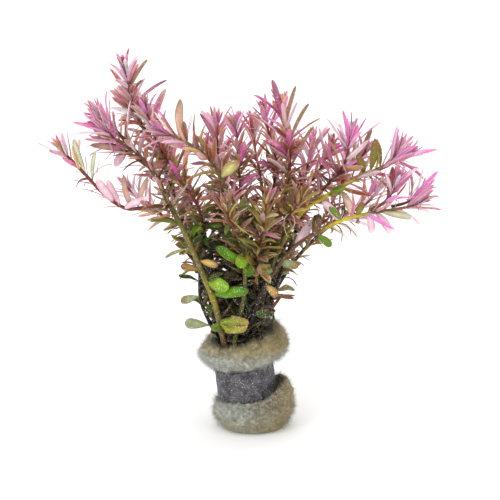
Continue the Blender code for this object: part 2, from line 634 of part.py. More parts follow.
def tube_tree(path, radii):
    """A stem's surface as a square tube, for finding what a leaf would touch."""
    tangent = unit(np.gradient(path, axis=0))
    level = unit(np.cross(tangent, UP + np.array([0.3, 0.2, 0])))
    across = np.cross(tangent, level)
    reach = (math.sqrt(2) * (SQUARE_CORNER * radii + TUBE_MARGIN))[:, None]
    ways = (level, across, -level, -across)
    rings = np.stack([path + reach * way for way in ways], axis=1)
    faces = [
        (4 * r + k, 4 * r + (k + 1) % 4, 4 * r + 4 + (k + 1) % 4, 4 * r + 4 + k)
        for r in range(len(path) - 1) for k in range(4)
    ]
    points = rings.reshape(-1, 3)
    return BVHTree.FromPolygons(points.tolist(), faces), points.min(axis=0), points.max(axis=0)


def clear_of(candidate, obstacles):
    tree, low, high = candidate
    for other, other_low, other_high in obstacles:
        if (low < other_high).all() and (high > other_low).all() and tree.overlap(other):
            return False
    return True


def placed_leaves(courses, solid_trees):
    """Chooses each leaf's first attempt that touches nothing, and leaves out a leaf that has none."""
    tubes = {name: tube_tree(course.path, course.radii) for name, course in courses.items()}
    grown = []
    chosen = {}
    for name, course in courses.items():
        plant = STEMS.get(name) or SIDES[name]
        long = [leaf for leaf in LONG_LEAVES if leaf.stem == name]
        broad = [leaf for leaf in BROAD_LEAVES if leaf.stem == name]
        obstacles = solid_trees + [tube for other, tube in tubes.items() if other != name]
        chosen[name] = []
        for choice in leaf_choices(name, plant, course, long, broad):
            for attempt in range(len(ATTEMPTS)):
                leaf = choice(attempt)
                candidate = leaf_tree(leaf)
                if clear_of(candidate, obstacles) and clear_of(candidate, grown):
                    chosen[name].append(leaf)
                    grown.append(candidate)
                    break
    return chosen


def ring_distances(course, leaves):
    """Distances from the tip of a stem's rings: the edges of its leaf nodes, and more where it bends."""
    stops = sorted({d for leaf in leaves for d in leaf.node} | {APEX_RING, course.length})
    merged = [stops[0]]
    for stop in stops[1:]:
        if stop - merged[-1] > 0.3:
            merged.append(stop)
    merged[-1] = course.length

    def split(near, far):
        middle = 0.5 * (near + far)
        chord = 0.5 * (course.at(near)[0] + course.at(far)[0])
        bend = np.linalg.norm(course.at(middle)[0] - chord)
        if far - near < 4 or (bend < MOST_BEND and far - near < 26):
            return []
        return [*split(near, middle), middle, *split(middle, far)]

    rings = []
    for near, far in zip(merged, merged[1:]):
        rings += [near, *split(near, far)]
    return [*rings, merged[-1]]


def ring_points(course, distance):
    """A stem's four corners at a distance from its tip."""
    point, _, outward, sideways, radius = course.at(distance)
    reach = SQUARE_CORNER * radius * math.sqrt(0.5)
    signs = ((1, -1), (1, 1), (-1, 1), (-1, -1))
    return [point + reach * (a * outward + b * sideways) for a, b in signs]


def extruded(bm, face):
    """A face pushed out as Blender's Extrude Individual does it: the new end face."""
    return bmesh.ops.extrude_discrete_faces(bm, faces=[face])["faces"][0]


def put_round(face, spots):
    """Moves a face's four vertices to four spots given in the same order round it, with the least twist."""
    spots = np.array(spots)
    verts = list(face.verts)
    now = np.array([vert.co for vert in verts])
    now = unit(now - now.mean(axis=0))
    wanted = unit(spots - spots.mean(axis=0))
    turn = max(range(4), key=lambda k: (now * np.roll(wanted, -k, axis=0)).sum())
    for vert, spot in zip(verts, np.roll(spots, -turn, axis=0)):
        vert.co = spot.tolist()


def grow_leaf(bm, face, leaf):
    """Extrudes a stem's side through the leaf's sections and draws the last to its tip."""
    for section in leaf.sections:
        face = extruded(bm, face)
        put_round(face, corners(section))
    end = extruded(bm, face)
    bmesh.ops.pointmerge(bm, verts=list(end.verts), merge_co=leaf.tip.tolist())


def stem_mesh(name, course, leaves):
    """A stem with its leaves and growing tip as one closed mesh."""
    rings = ring_distances(course, leaves)[::-1]
    bm = bmesh.new()
    bmesh.ops.create_cone(bm, cap_ends=True, segments=4, radius1=1, radius2=1, depth=2)
    bottom, top = sorted((f for f in bm.faces if abs(f.normal.z) > 0.9), key=lambda f: f.normal.z)
    risers = [edge for edge in bm.edges if not (set(edge.link_faces) & {bottom, top})]
    put_round(top, ring_points(course, rings[1]))
    lower, upper = np.array(ring_points(course, rings[0])), np.array(ring_points(course, rings[1]))
    for edge in risers:
        high, low = sorted(edge.verts, key=lambda vert: vert not in list(top.verts))
        low.co = lower[int(np.argmin(np.linalg.norm(upper - np.array(high.co), axis=1)))].tolist()
    sides = {(rings[0], rings[1]): [f for f in bm.faces if f not in (bottom, top)]}
    for below, ring in zip(rings[1:], rings[2:]):
        top = extruded(bm, top)
        put_round(top, ring_points(course, ring))
        sides[below, ring] = [
            face for edge in top.edges for face in edge.link_faces if face is not top
        ]
    end = extruded(bm, top)
    bmesh.ops.pointmerge(bm, verts=list(end.verts), merge_co=course.at(0)[0].tolist())
    for leaf in leaves:
        near, far = leaf.node
        key = min(sides, key=lambda k: abs(k[0] - far) + abs(k[1] - near))
        _, _, outward, sideways, _ = course.at(0.5 * (near + far))
        out = side_of(outward, sideways, leaf.quarter)
        faces = [face for face in sides[key] if face.is_valid]
        centre = np.mean([np.array(face.calc_center_median()) for face in faces], axis=0)
        face = max(faces, key=lambda f: np.dot(np.array(f.calc_center_median()) - centre, out))
        sides[key] = [other for other in faces if other is not face]
        grow_leaf(bm, face, leaf)
    mesh = bpy.data.meshes.new(name)
    bm.to_mesh(mesh)
    bm.free()
    return mesh


def in_metres(mesh):
    points = np.empty(len(mesh.vertices) * 3)
    mesh.vertices.foreach_get("co", points)
    mesh.vertices.foreach_set("co", points * MM)
    mesh.update()


def foam_profile():
    """The foam's outline as (radius, height): up the pocket's wall, over the rim, and down the outside."""
    return [
        (0, POCKET_FLOOR), (POCKET_RADIUS - 0.4, POCKET_FLOOR), (POCKET_RADIUS, 8), (POCKET_RADIUS, 24),
        (MOUTH_RADIUS, MOUTH_HEIGHT - 1), (12.2, 35.4), (14.0, 35.3), (15.6, 33.6), (16.2, 31.0),
        (15.4, 28.0), (13.0, 25.5), (WAIST_RADIUS, WAIST_TOP), (WAIST_RADIUS, WAIST_BOTTOM), (11.9, 11.3),
        (12.8, 12.2), (14.1, 11.4), (14.8, 9.2), (14.5, 6.0), (13.4, 2.6), (FOOT_RADIUS, 0), (0, 0),
    ]


def foam_lumps(points):
    """Makes the turned foam uneven: its collars bulge to the right, its rim rises at the back and right, a
    fold of it climbs beside the ribbon at the right, and its surface swells and dips."""
    x, y, height = points.T
    radius = np.hypot(x, y)
    angle = np.arctan2(y, x)
    outside = radius > 11.4
    lower = outside & (height < 14)
    upper = outside & (height > 24)
    collar = np.where(lower, np.clip(height / 4, 0, 1), np.where(upper, 1.0, 0.0))
    bulge = np.where(lower, LOWER_BULGE, UPPER_BULGE) * np.cos(angle)
    waves = 0.45 * np.sin(3 * angle + 0.3 * height) + 0.35 * np.sin(5 * angle - 0.5 * height + 1.0)
    least = np.where(lower & (height > WAIST_BOTTOM - 0.1), LIP_RADIUS, 0)
    wanted = np.maximum(radius + collar * (bulge + waves), least)
    scale = np.where(radius > 1, wanted / np.maximum(radius, 1), 1)
    rim = np.clip((height - 28) / 6, 0, 1) * (radius > 10)
    lift = rim * (1.3 * np.cos(angle) + 1.2 * np.sin(angle) + 0.4 * np.sin(4 * angle))
    fold = lower & (height > 10.5) & (radius > 12.5)
    lift = lift + np.where(fold, FOLD_RISE * np.clip(1.4 * np.cos(angle - 0.1) - 0.3, 0, 1), 0)
    return np.stack([x * scale, y * scale, height + lift], axis=1)


def turned_mesh(name, profile, steps):
    """A profile turned about the Z axis by the Screw modifier, as a mesh of its own."""
    outline = bpy.data.meshes.new(name)
    outline.from_pydata([(r, 0, z) for r, z in profile], [(k, k + 1) for k in range(len(profile) - 1)], [])
    source = bpy.data.objects.new(name + "_profile", outline)
    bpy.context.scene.collection.objects.link(source)
    screw = source.modifiers.new("Turn", "SCREW")
    screw.steps = steps
    screw.render_steps = steps
    screw.use_merge_vertices = True
    screw.merge_threshold = 0.0001
    mesh = bpy.data.meshes.new_from_object(source.evaluated_get(bpy.context.evaluated_depsgraph_get()))
    bpy.data.objects.remove(source)
    bpy.data.meshes.remove(outline)
    bm = bmesh.new()
    bm.from_mesh(mesh)
    bmesh.ops.remove_doubles(bm, verts=list(bm.verts), dist=0.001)
    bmesh.ops.recalc_face_normals(bm, faces=list(bm.faces))
    bm.to_mesh(mesh)
    bm.free()
    mesh.name = name
    return mesh


def foam_mesh():
    mesh = turned_mesh("foam_wrap", foam_profile(), FOAM_STEPS)
    points = np.empty(len(mesh.vertices) * 3)
    mesh.vertices.foreach_get("co", points)
    points = leaned(foam_lumps(points.reshape(-1, 3)))
    mesh.vertices.foreach_set("co", points.ravel())
    mesh.update()
    return mesh


def ribbon_outline():
    """The ribbon's edge seen along its axis: a spiral out along its inner face and back along its outer."""
    steps = int(FOAM_STEPS * RIBBON_TURNS)
    turn = np.linspace(-RIBBON_TURNS, 0, steps + 1)
    angle = RIBBON_END_ANGLE + 2 * math.pi * turn
    inner = WAIST_RADIUS + GAP + RIBBON_PITCH * (turn + RIBBON_TURNS)
    outer = inner + RIBBON_THICKNESS
    first = np.stack([inner * np.cos(angle), inner * np.sin(angle)], axis=1)
    second = np.stack([outer * np.cos(angle), outer * np.sin(angle)], axis=1)[::-1]
    return np.vstack([first, second]) * MM


def add_ribbon():
    """The ribbon as a flat filled curve, extruded by half its height each way and leaned with the foot."""
    curve = bpy.data.curves.new("lead_band", "CURVE")
    curve.dimensions = "2D"
    curve.fill_mode = "BOTH"
    height = WAIST_TOP - WAIST_BOTTOM - 2 * GAP
    curve.extrude = 0.5 * height * MM
    outline = ribbon_outline()
    spline = curve.splines.new("POLY")
    spline.points.add(len(outline) - 1)
    for point, (x, y) in zip(spline.points, outline):
        point.co = (x, y, 0, 1)
    spline.use_cyclic_u = True
    middle = leaned([(0, 0, 0.5 * (WAIST_TOP + WAIST_BOTTOM))])[0]
    band = bpy.data.objects.new("lead_band", curve)
    band.location = (middle * MM).tolist()
    band.rotation_euler = (0, -BASE_LEAN, 0)
    return band


def surface_tree(mesh):
    points = np.array([vert.co for vert in mesh.vertices])
    faces = [tuple(face.vertices) for face in mesh.polygons]
    return BVHTree.FromPolygons(points.tolist(), faces), points.min(axis=0), points.max(axis=0)


def material(name, colour, roughness, metallic=0.0):
    made = bpy.data.materials.new(name)
    made.use_nodes = True
    shader = made.node_tree.nodes["Principled BSDF"]
    shader.inputs["Base Color"].default_value = (*colour, 1)
    shader.inputs["Roughness"].default_value = roughness
    shader.inputs["Metallic"].default_value = metallic
    return made


def main():
    for old in list(bpy.data.objects):
        bpy.data.objects.remove(old)
    bunch = bpy.data.collections.new("Rotala bunch")
    bpy.context.scene.collection.children.link(bunch)
    foam = foam_mesh()
    courses = {}
    for name, (path, radii) in all_paths().items():
        plant = STEMS.get(name) or SIDES[name]
        courses[name] = Course(path, radii, plant.turn)
    leaves = placed_leaves(courses, [surface_tree(foam)])

    in_metres(foam)
    foam.materials.append(material("foam", (0.36, 0.31, 0.18), 0.95))
    bunch.objects.link(bpy.data.objects.new("foam_wrap", foam))
    band = add_ribbon()
    band.data.materials.append(material("lead", (0.09, 0.085, 0.09), 0.55, 0.6))
    bunch.objects.link(band)

    pink = material("pink shoots", (0.55, 0.16, 0.3), 0.5)
    olive = material("olive stems", (0.2, 0.19, 0.05), 0.5)
    for name, course in courses.items():
        mesh = stem_mesh(name, course, leaves[name])
        in_metres(mesh)
        mesh.materials.append(pink if name in SIDES else olive)
        bunch.objects.link(bpy.data.objects.new(name, mesh))


main()
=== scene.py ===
"""The looks of a bunch of rotala in its foam and lead ribbon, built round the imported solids. Lengths are in
millimetres until a mesh is written, and the stems and leaves follow the same tables as the solids."""

import json
import math
from collections import namedtuple

import bpy
import numpy as np
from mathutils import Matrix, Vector

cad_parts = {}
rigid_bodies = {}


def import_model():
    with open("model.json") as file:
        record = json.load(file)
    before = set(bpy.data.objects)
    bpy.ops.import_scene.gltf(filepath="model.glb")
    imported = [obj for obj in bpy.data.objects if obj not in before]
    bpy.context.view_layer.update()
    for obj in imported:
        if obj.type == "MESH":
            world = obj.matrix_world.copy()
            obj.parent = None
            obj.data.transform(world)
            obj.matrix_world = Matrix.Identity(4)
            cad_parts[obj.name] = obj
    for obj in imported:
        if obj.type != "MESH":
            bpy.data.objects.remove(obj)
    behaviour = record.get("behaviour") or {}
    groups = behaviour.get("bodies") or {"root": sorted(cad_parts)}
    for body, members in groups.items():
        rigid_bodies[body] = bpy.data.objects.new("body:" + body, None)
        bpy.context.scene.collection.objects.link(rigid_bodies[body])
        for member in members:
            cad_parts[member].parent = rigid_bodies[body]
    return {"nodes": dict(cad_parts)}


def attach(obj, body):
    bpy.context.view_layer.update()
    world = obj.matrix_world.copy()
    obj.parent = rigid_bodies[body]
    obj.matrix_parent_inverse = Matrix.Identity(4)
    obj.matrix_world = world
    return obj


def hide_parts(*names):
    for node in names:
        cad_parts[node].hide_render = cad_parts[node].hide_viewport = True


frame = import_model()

MM = 0.001
UP = np.array([0.0, 0.0, 1.0])
GAP = 0.35

# The wrapped foot leans towards -X, and its heights below run along the leaning axis.
BASE_LEAN = math.radians(8.0)
LEVEL_HEIGHT = 7.0
WAIST_RADIUS = 9.35
WAIST_BOTTOM = 11.4
WAIST_TOP = 24.0
LIP_RADIUS = 12.1
POCKET_RADIUS = 8.0
POCKET_FLOOR = 2.2
MOUTH_HEIGHT = 34.0
MOUTH_SPREAD = 1.32
MOUTH_RADIUS = 10.8
FOOT_RADIUS = 11.7
FOAM_STEPS = 26

# The foam's uneven shape: how far its collars bulge to the right, and how far a fold of it climbs there.
LOWER_BULGE = 1.4
UPPER_BULGE = 0.9
FOLD_RISE = 3.6

# The lead ribbon
RIBBON_THICKNESS = 0.7
RIBBON_PITCH = 0.85
RIBBON_TURNS = 1.3
RIBBON_END_ANGLE = math.radians(-62.0)

# Stems keep this much between their surfaces, and a growing tip is the last whorls of a stem.
STEM_GAP = 0.85
PATH_SPACING = 2.0
SQUARE_CORNER = 1.12

# A whorl is the stretch between two rings, counted from the tip, with a leaf on each of its four sides.
Whorl = namedtuple("Whorl", "near far length width pitch")
WHORLS = (
    Whorl(0.9, 2.4, 7.5, 0.0, 7.0),
    Whorl(2.4, 4.4, 10.5, 2.2, 14.0),
    Whorl(4.4, 7.0, 12.6, 2.6, 25.0),
)
PAIR_DISTANCES = (10.0, 14.5, 20.0, 26.5, 34.0, 43.0)
PAIR_LENGTHS = (13.2, 12.8, 12.2, 11.2, 10.2, 9.2)
PAIR_PITCHES = (36.0, 43.0, 50.0, 58.0, 67.0, 76.0)
PAIR_HALF_HEIGHT = 0.55
PAIR_WIDTH = 2.8
BUD_LEAF_WIDTH = 1.6
LEAF_MIDDLE = 0.42
LONG_BOW = 0.06

# Changes of pitch, swing and length that a leaf tries in turn: the solids took the first that left it clear of
# everything else, and here the one whose tip is a corner of the imported solid is taken.
ATTEMPTS = (
    (0, 0, 1.0),
    (14, 0, 1.0),
    (-11, 0, 1.0),
    (0, 24, 1.0),
    (0, -24, 1.0),
    (18, 20, 0.9),
    (18, -20, 0.9),
    (-14, 18, 0.85),
    (-14, -18, 0.85),
    (28, 34, 0.8),
    (28, -34, 0.8),
    (6, 0, 0.62),
)

Stem = namedtuple("Stem", "slot radii leafy size turn route")
Side = namedtuple("Side", "parent radii leafy size turn route")
Long = namedtuple("Long", "stem distance reach width")
Broad = namedtuple("Broad", "stem height reach width face")

# slot is the radius and angle at which the stem stands in the foam, and route is where it goes from there.
# radii are the stem's at its foot and its tip, leafy is how far down from the tip its pairs of leaves go.
STEMS = {
    "stem_left_thick": Stem((6.1, 225), (1.4, 0.6), 52, 1.0, 10, (
        (-14, -11, 50), (-18, -12.5, 61), (-23.6, -13.5, 75), (-30.4, -13.5, 88.5), (-36, -12, 99.8),
        (-45, -8.5, 109.5), (-56, -5, 120),
    )),
    "stem_left_dark": Stem((6.1, 195), (0.9, 0.45), 40, 0.95, 35, (
        (-18.7, -4, 47.5), (-19.5, -5, 59), (-18.2, -5, 72), (-19.9, -5, 85), (-26, -5, 94.4),
        (-32, -3.5, 104), (-36.6, -2, 113), (-39.4, 0, 121.8),
    )),
    "stem_left_tallest": Stem((6.1, 165), (1.0, 0.5), 52, 1.0, 55, (
        (-18, 5, 54.5), (-25.5, 7, 75), (-31, 7.5, 92.7), (-36, 8, 105), (-42.4, 8, 116.6),
        (-45, 8, 125), (-46.5, 8, 134.5),
    )),
    "stem_left_arching": Stem((6.1, 255), (1.1, 0.5), 32, 1.05, 20, (
        (-3.5, -12, 52), (-3, -14, 67), (-5, -17, 82), (-8.6, -19, 94), (-14.3, -20, 104.7),
        (-22, -19.5, 111.5), (-33, -18, 116.5),
    )),
    "stem_middle_rosette": Stem((3.1, 140), (0.8, 0.5), 24, 0.9, 15, (
        (-9, 9, 60), (-11, 12, 85), (-13, 14, 103), (-13.5, 14, 113.2),
    )),
    "stem_middle_upright": Stem((0.0, 0), (0.8, 0.45), 32, 0.85, 60, (
        (-3.5, 1, 60), (-4.5, 2, 88), (-6.4, 3, 115.6),
    )),
    "stem_middle_tall": Stem((3.1, 310), (0.95, 0.55), 41, 1.05, 30, (
        (3.4, -6, 63), (8.6, -7, 83), (12.8, -7, 96.6), (13.1, -7, 106.3), (11.3, -6, 116.4),
        (9.8, -6, 124.2),
    )),
    "stem_middle_slender": Stem((3.1, 80), (0.75, 0.4), 32, 0.8, 5, (
        (3.5, 7, 62), (7.5, 9, 88), (8.3, 10, 100), (5.6, 10, 110.5), (3.6, 10, 118.5),
    )),
    "stem_right_upright": Stem((3.1, 25), (0.8, 0.45), 32, 1.05, 40, (
        (8, 10, 60), (16.1, 13, 85), (20, 14, 95), (22.3, 14, 105.3),
    )),
    "stem_right_dark": Stem((6.1, 15), (0.8, 0.4), 32, 0.8, 70, (
        (10, 2.5, 62), (16.8, 3.5, 84), (25.1, 4, 98), (29.3, 4, 106.8),
    )),
    "stem_right_star": Stem((6.1, 345), (0.95, 0.55), 24, 1.1, 25, (
        (11, -4, 62), (18.6, -4.5, 83), (27, -4.5, 93.2), (33.4, -4.5, 101.5), (35.6, -4, 112.5),
    )),
    "stem_right_yellow": Stem((6.1, 315), (1.2, 0.65), 32, 1.0, 0, (
        (3.5, -9, 52), (8.3, -10, 68), (17.6, -10, 84.2), (27, -9, 90.5), (38.3, -7, 96.6),
        (49.5, -4, 101.2), (53.6, -2, 106.4),
    )),
    "stem_right_low": Stem((6.1, 285), (1.1, 0.55), 41, 1.0, 45, (
        (3.4, -12, 55), (13.9, -13, 71), (24.4, -14, 78.3), (34.5, -15, 83.5), (45.8, -15, 85.9),
        (55.1, -14, 87.2), (61, -13, 89),
    )),
    "stem_back_left": Stem((6.1, 135), (0.95, 0.5), 32, 1.0, 30, (
        (-16, 18, 62), (-26, 29, 84), (-33, 36, 98),
    )),
    "stem_back_middle": Stem((6.1, 105), (0.95, 0.5), 24, 1.0, 50, (
        (-8, 20, 62), (-12, 31, 82), (-14, 38, 97),
    )),
    "stem_back_tall": Stem((6.1, 75), (0.95, 0.5), 24, 1.0, 15, (
        (4, 20, 64), (9, 33, 86), (12, 41, 98),
    )),
    "stem_back_right": Stem((6.1, 45), (0.95, 0.5), 24, 1.0, 65, (
        (14, 12, 58), (30, 19, 73), (42, 23, 79), (48, 25, 85),
    )),
    "stem_front_short": Stem((3.1, 250), (0.85, 0.5), 32, 0.95, 35, (
        (0, -9, 52), (1.5, -15, 68), (3.8, -21, 83), (5, -25, 94),
    )),
}

# The first point of a side shoot's route is about where it leaves its parent.
SIDES = {
    "shoot_far_left": Side("stem_left_thick", (0.75, 0.5), 10, 0.95, 20, (
        (-30.4, -13.5, 88), (-36.8, -16, 88.1), (-45.4, -18, 87.8), (-52.9, -19, 92.8),
        (-61.1, -19, 101.7), (-69, -18, 110),
    )),
    "shoot_left_upper": Side("stem_left_thick", (0.65, 0.5), 10, 1.05, 60, (
        (-44, -9, 108), (-49.5, -11.5, 112), (-55.5, -13.5, 117.5),
    )),
    "shoot_left_lower": Side("stem_left_thick", (0.6, 0.45), 10, 0.95, 35, (
        (-39, -10.5, 103), (-46, -5, 106), (-54.5, -1, 109.5),
    )),
    "shoot_tallest_side": Side("stem_left_tallest", (0.6, 0.45), 10, 0.9, 0, (
        (-39.5, 8, 111), (-43.5, 12, 114.5), (-47.5, 15, 120.5),
    )),
    "shoot_yellow_side": Side("stem_right_yellow", (0.7, 0.5), 0, 1.1, 20, (
        (46, -5, 100), (51.5, -2, 101.2), (57, 1.5, 103.4),
    )),
    "shoot_low_right_inner": Side("stem_right_low", (0.65, 0.45), 10, 1.0, 30, (
        (44, -15, 85.5), (48.5, -17, 91), (52, -18, 99),
    )),
    "shoot_low_right_end": Side("stem_right_low", (0.6, 0.45), 0, 1.0, 50, (
        (52, -14, 87), (56.5, -11.5, 88.8), (61.5, -9, 92),
    )),
    "shoot_back_right_side": Side("stem_back_right", (0.65, 0.45), 15, 1.0, 25, (
        (22, 16, 66), (28, 24, 76), (33, 32, 85), (35, 37, 92),
    )),
    "shoot_back_left_side": Side("stem_back_left", (0.65, 0.45), 22, 1.0, 55, (
        (-18, 20, 66), (-28, 21.5, 72), (-39, 23, 78), (-47, 23, 86),
    )),
    "shoot_slender_back": Side("stem_middle_slender", (0.6, 0.45), 22, 0.9, 40, (
        (6, 8.5, 78), (3, 16, 90), (0.5, 24, 102), (0, 28, 110),
    )),
    "shoot_tall_front": Side("stem_middle_tall", (0.65, 0.45), 15, 0.9, 10, (
        (6, -6.5, 74), (11, -12, 82), (16, -18, 89), (18.5, -21, 94.5),
    )),
    "shoot_arching_front": Side("stem_left_arching", (0.65, 0.45), 10, 0.9, 60, (
        (-4, -16, 76), (-7, -22, 82), (-9, -27, 87.5), (-9.5, -30, 92),
    )),
    "shoot_star_side": Side("stem_right_star", (0.65, 0.45), 0, 0.95, 35, (
        (31, -4.5, 97), (36.5, -0.5, 99.5), (42, 3, 105),
    )),
}

# How many times wider or closer than the others' some growing tips spread.
WIDE_TIPS = {
    "stem_right_star": 1.9,
    "shoot_left_upper": 1.15,
    "shoot_left_lower": 1.3,
    "shoot_yellow_side": 1.3,
    "shoot_far_left": 0.55,
    "stem_left_tallest": 0.6,
    "stem_right_low": 0.75,
}

# Narrow leaves that stand out, and a cut side stem on stem_right_low: how far from the stem's tip each grows,
# its own tip from there, its width.
LONG_LEAVES = (
    Long("stem_left_tallest", 8, (6.8, 1, 10.4), 2.2),
    Long("stem_left_tallest", 10, (4.9, -3, 5.8), 2.0),
    Long("stem_left_tallest", 14.5, (12.4, 3, 8.9), 1.6),
    Long("stem_left_tallest", 14.5, (-8.6, -2, 6), 2.4),
    Long("stem_left_dark", 8, (5.6, -2, 14.5), 3.2),
    Long("stem_left_dark", 30, (-3.8, -4, 8.1), 3.0),
    Long("stem_left_arching", 8, (-0.3, 2, 14.4), 4.0),
    Long("stem_left_arching", 10, (-0.8, -1, 7.8), 3.6),
    Long("stem_left_arching", 14.5, (-9.5, -2, 1.6), 2.4),
    Long("stem_left_arching", 28, (6.6, -2, 6.2), 3.6),
    Long("shoot_left_lower", 8, (-11.2, -2, 1.7), 3.0),
    Long("shoot_left_lower", 10, (-4, -3, -5.2), 3.4),
    Long("shoot_far_left", 12.2, (-3.5, 1, 12.3), 2.6),
    Long("shoot_far_left", 16.2, (1.7, -1, 11.3), 2.0),
    Long("shoot_far_left", 26.5, (-5.1, -3, 8.8), 3.4),
    Long("shoot_far_left", 29.5, (-4, 2, 8.9), 2.8),
    Long("shoot_far_left", 32, (8.9, -3, 4.7), 3.0),
    Long("shoot_far_left", 34.5, (-2.8, -2, 13.2), 2.8),
    Long("shoot_far_left", 37, (3.5, 1, 11.5), 2.4),
    Long("stem_middle_rosette", 8, (-6.5, -1, 11), 2.2),
    Long("stem_middle_rosette", 23, (6.5, -3, 5.5), 2.6),
    Long("stem_middle_upright", 16.5, (2.2, -3, 9.6), 3.6),
    Long("stem_middle_upright", 24, (6.5, -3, 5), 2.8),
    Long("stem_middle_upright", 28, (-4.5, -4, 7), 2.6),
    Long("stem_middle_upright", 33, (6, -4, 6.5), 2.6),
    Long("stem_middle_slender", 24, (-6.5, -4, 4.5), 2.8),
    Long("stem_middle_tall", 8, (-4.5, -2, 16.6), 3.8),
    Long("stem_middle_tall", 8, (4.1, 1, 13.8), 2.6),
    Long("stem_middle_tall", 14.5, (7.6, 0, 14), 2.4),
    Long("stem_middle_tall", 17, (0, -4, 8.1), 2.8),
    Long("stem_middle_tall", 20, (-7.6, -3, 6.7), 2.8),
    Long("stem_middle_tall", 23.5, (8.4, 1, 14.2), 2.4),
    Long("shoot_star_side", 8, (6.8, 1, 13.7), 3.0),
    Long("stem_right_yellow", 10.5, (-2.5, 2, 10.5), 3.0),
    Long("stem_right_yellow", 14.5, (1, -2, 12.3), 3.8),
    Long("stem_right_yellow", 17, (-4.3, -2, 9.7), 3.6),
    Long("shoot_low_right_inner", 8, (1.1, 0, 11.6), 2.8),
    Long("stem_right_low", 14.5, (10.1, -2, -2.2), 3.2),
    Long("stem_right_low", 17, (4.9, 2, -8.3), 3.2),
    Long("stem_right_low", 20, (1.1, 1, -7.6), 3.0),
    Long("stem_right_low", 26, (-3.5, 4, 8.5), 3.4),
    Long("stem_right_low", 31, (-6, 4, 6.5), 3.6),
    Long("stem_right_low", 40.5, (0.4, -0.5, 7), 2.2),
    Long("stem_right_low", 49, (5, 6, 7.5), 4.0),
)

# Old broad leaves: the height on the stem where each grows, its tip from there, its width, where it faces.
UPWARD = (0, -0.5, 1)
FORWARD = (0.1, -1, 0.3)
BROAD_LEAVES = (
    Broad("stem_left_thick", 82, (-10.5, -1, 0.8), 3.6, UPWARD),
    Broad("stem_left_thick", 72, (-9.5, -2, -3.5), 2.0, UPWARD),
    Broad("stem_left_dark", 62, (-7.2, 0, 1.5), 3.6, FORWARD),
    Broad("stem_left_dark", 57, (-9.2, -2, 3.5), 3.4, UPWARD),
    Broad("stem_left_dark", 51, (-7.2, 1, -2.5), 3.8, FORWARD),
    Broad("stem_left_dark", 39.5, (-9.5, -2, 1), 4.8, FORWARD),
    Broad("stem_left_thick", 49, (-3.5, -4, -2.5), 3.4, FORWARD),
    Broad("stem_left_thick", 60, (8.5, -3, -2), 4.8, FORWARD),
    Broad("stem_left_thick", 66, (7.5, -2, -1), 3.6, FORWARD),
    Broad("stem_left_arching", 66, (-10.5, -3, 7), 4.4, FORWARD),
    Broad("stem_left_thick", 53, (13.5, -4.5, 3), 4.8, FORWARD),
    Broad("stem_left_arching", 68, (4, -4, -5.5), 4.8, FORWARD),
    Broad("stem_left_arching", 70.5, (-4.5, -6.5, -3.5), 4.2, FORWARD),
    Broad("stem_left_dark", 79, (-3.8, -4, -5.5), 4.0, FORWARD),
    Broad("stem_left_dark", 77, (7, -3, 1.6), 3.2, UPWARD),
    Broad("stem_left_arching", 78, (-5.5, -2, 4), 3.2, UPWARD),
    Broad("stem_right_low", 62, (-10.5, -8.5, 5), 4.8, FORWARD),
    Broad("stem_right_yellow", 66, (7.5, -4.5, -3), 3.8, FORWARD),
    Broad("stem_left_thick", 42, (10.3, -8.5, 1.5), 6.0, FORWARD),
    Broad("stem_right_low", 58, (4.5, -3, -3.5), 3.8, FORWARD),
    Broad("stem_right_star", 52, (7.5, -2, -1), 2.0, FORWARD),
    Broad("stem_right_dark", 48, (9.5, 1, 1.5), 2.2, UPWARD),
    Broad("stem_right_low", 78, (5, -2, -4.5), 3.6, FORWARD),
    Broad("stem_right_low", 82.5, (-4.5, -1, 5.5), 2.6, FORWARD),
    Broad("stem_right_low", 84.6, (1.9, -1, 5.3), 3.2, FORWARD),
    Broad("stem_back_left", 52, (-8, 4, 2), 4.4, UPWARD),
    Broad("stem_back_middle", 56, (-4, 8, 2), 4.6, UPWARD),
    Broad("stem_back_tall", 52, (3, 8.5, 1), 4.6, UPWARD),
    Broad("stem_back_tall", 62, (7, 5, 0), 4.0, UPWARD),
    Broad("stem_back_right", 50, (7, 5, -1), 4.4, UPWARD),
    Broad("stem_back_middle", 45, (-7, 5, -1.5), 4.6, UPWARD),
    Broad("stem_right_star", 44, (5.5, -2, 8), 1.6, UPWARD),
    Broad("stem_right_low", 46, (6, -5, 1), 4.2, FORWARD),
    Broad("stem_left_tallest", 45, (-8, 3, 2.5), 4.2, UPWARD),
    Broad("stem_left_tallest", 66, (-7, 4, 2), 3.8, UPWARD),
    Broad("stem_left_thick", 39.5, (-3.5, -6, 2), 4.0, FORWARD),
    Broad("stem_right_dark", 58, (7, 3, 2), 3.6, UPWARD),
    Broad("stem_back_left", 43, (-5, 7, 2), 4.4, UPWARD),
)


def leaned(points):
    """Points given upright in the foot's own frame, turned with its leaning axis, the lowest kept level."""
    x, y, height = np.asarray(points, float).reshape(-1, 3).T
    level = np.clip(height / LEVEL_HEIGHT, 0, 1)
    return np.stack([
        x * math.cos(BASE_LEAN) - height * math.sin(BASE_LEAN),
        y,
        height * (1 - level + level * math.cos(BASE_LEAN)) + level * x * math.sin(BASE_LEAN),
    ], axis=1)


def unleaned(points):
    """The reverse of leaned, for points above the level part."""
    x, y, z = np.asarray(points, float).T
    return np.stack([
        x * math.cos(BASE_LEAN) + z * math.sin(BASE_LEAN),
        y,
        z * math.cos(BASE_LEAN) - x * math.sin(BASE_LEAN),
    ], axis=1)


def unit(vectors):
    vectors = np.asarray(vectors, float)
    return vectors / np.linalg.norm(vectors, axis=-1, keepdims=True)


def lengths_along(path):
    steps = np.linalg.norm(np.diff(path, axis=0), axis=1)
    return np.concatenate([[0.0], np.cumsum(steps)])


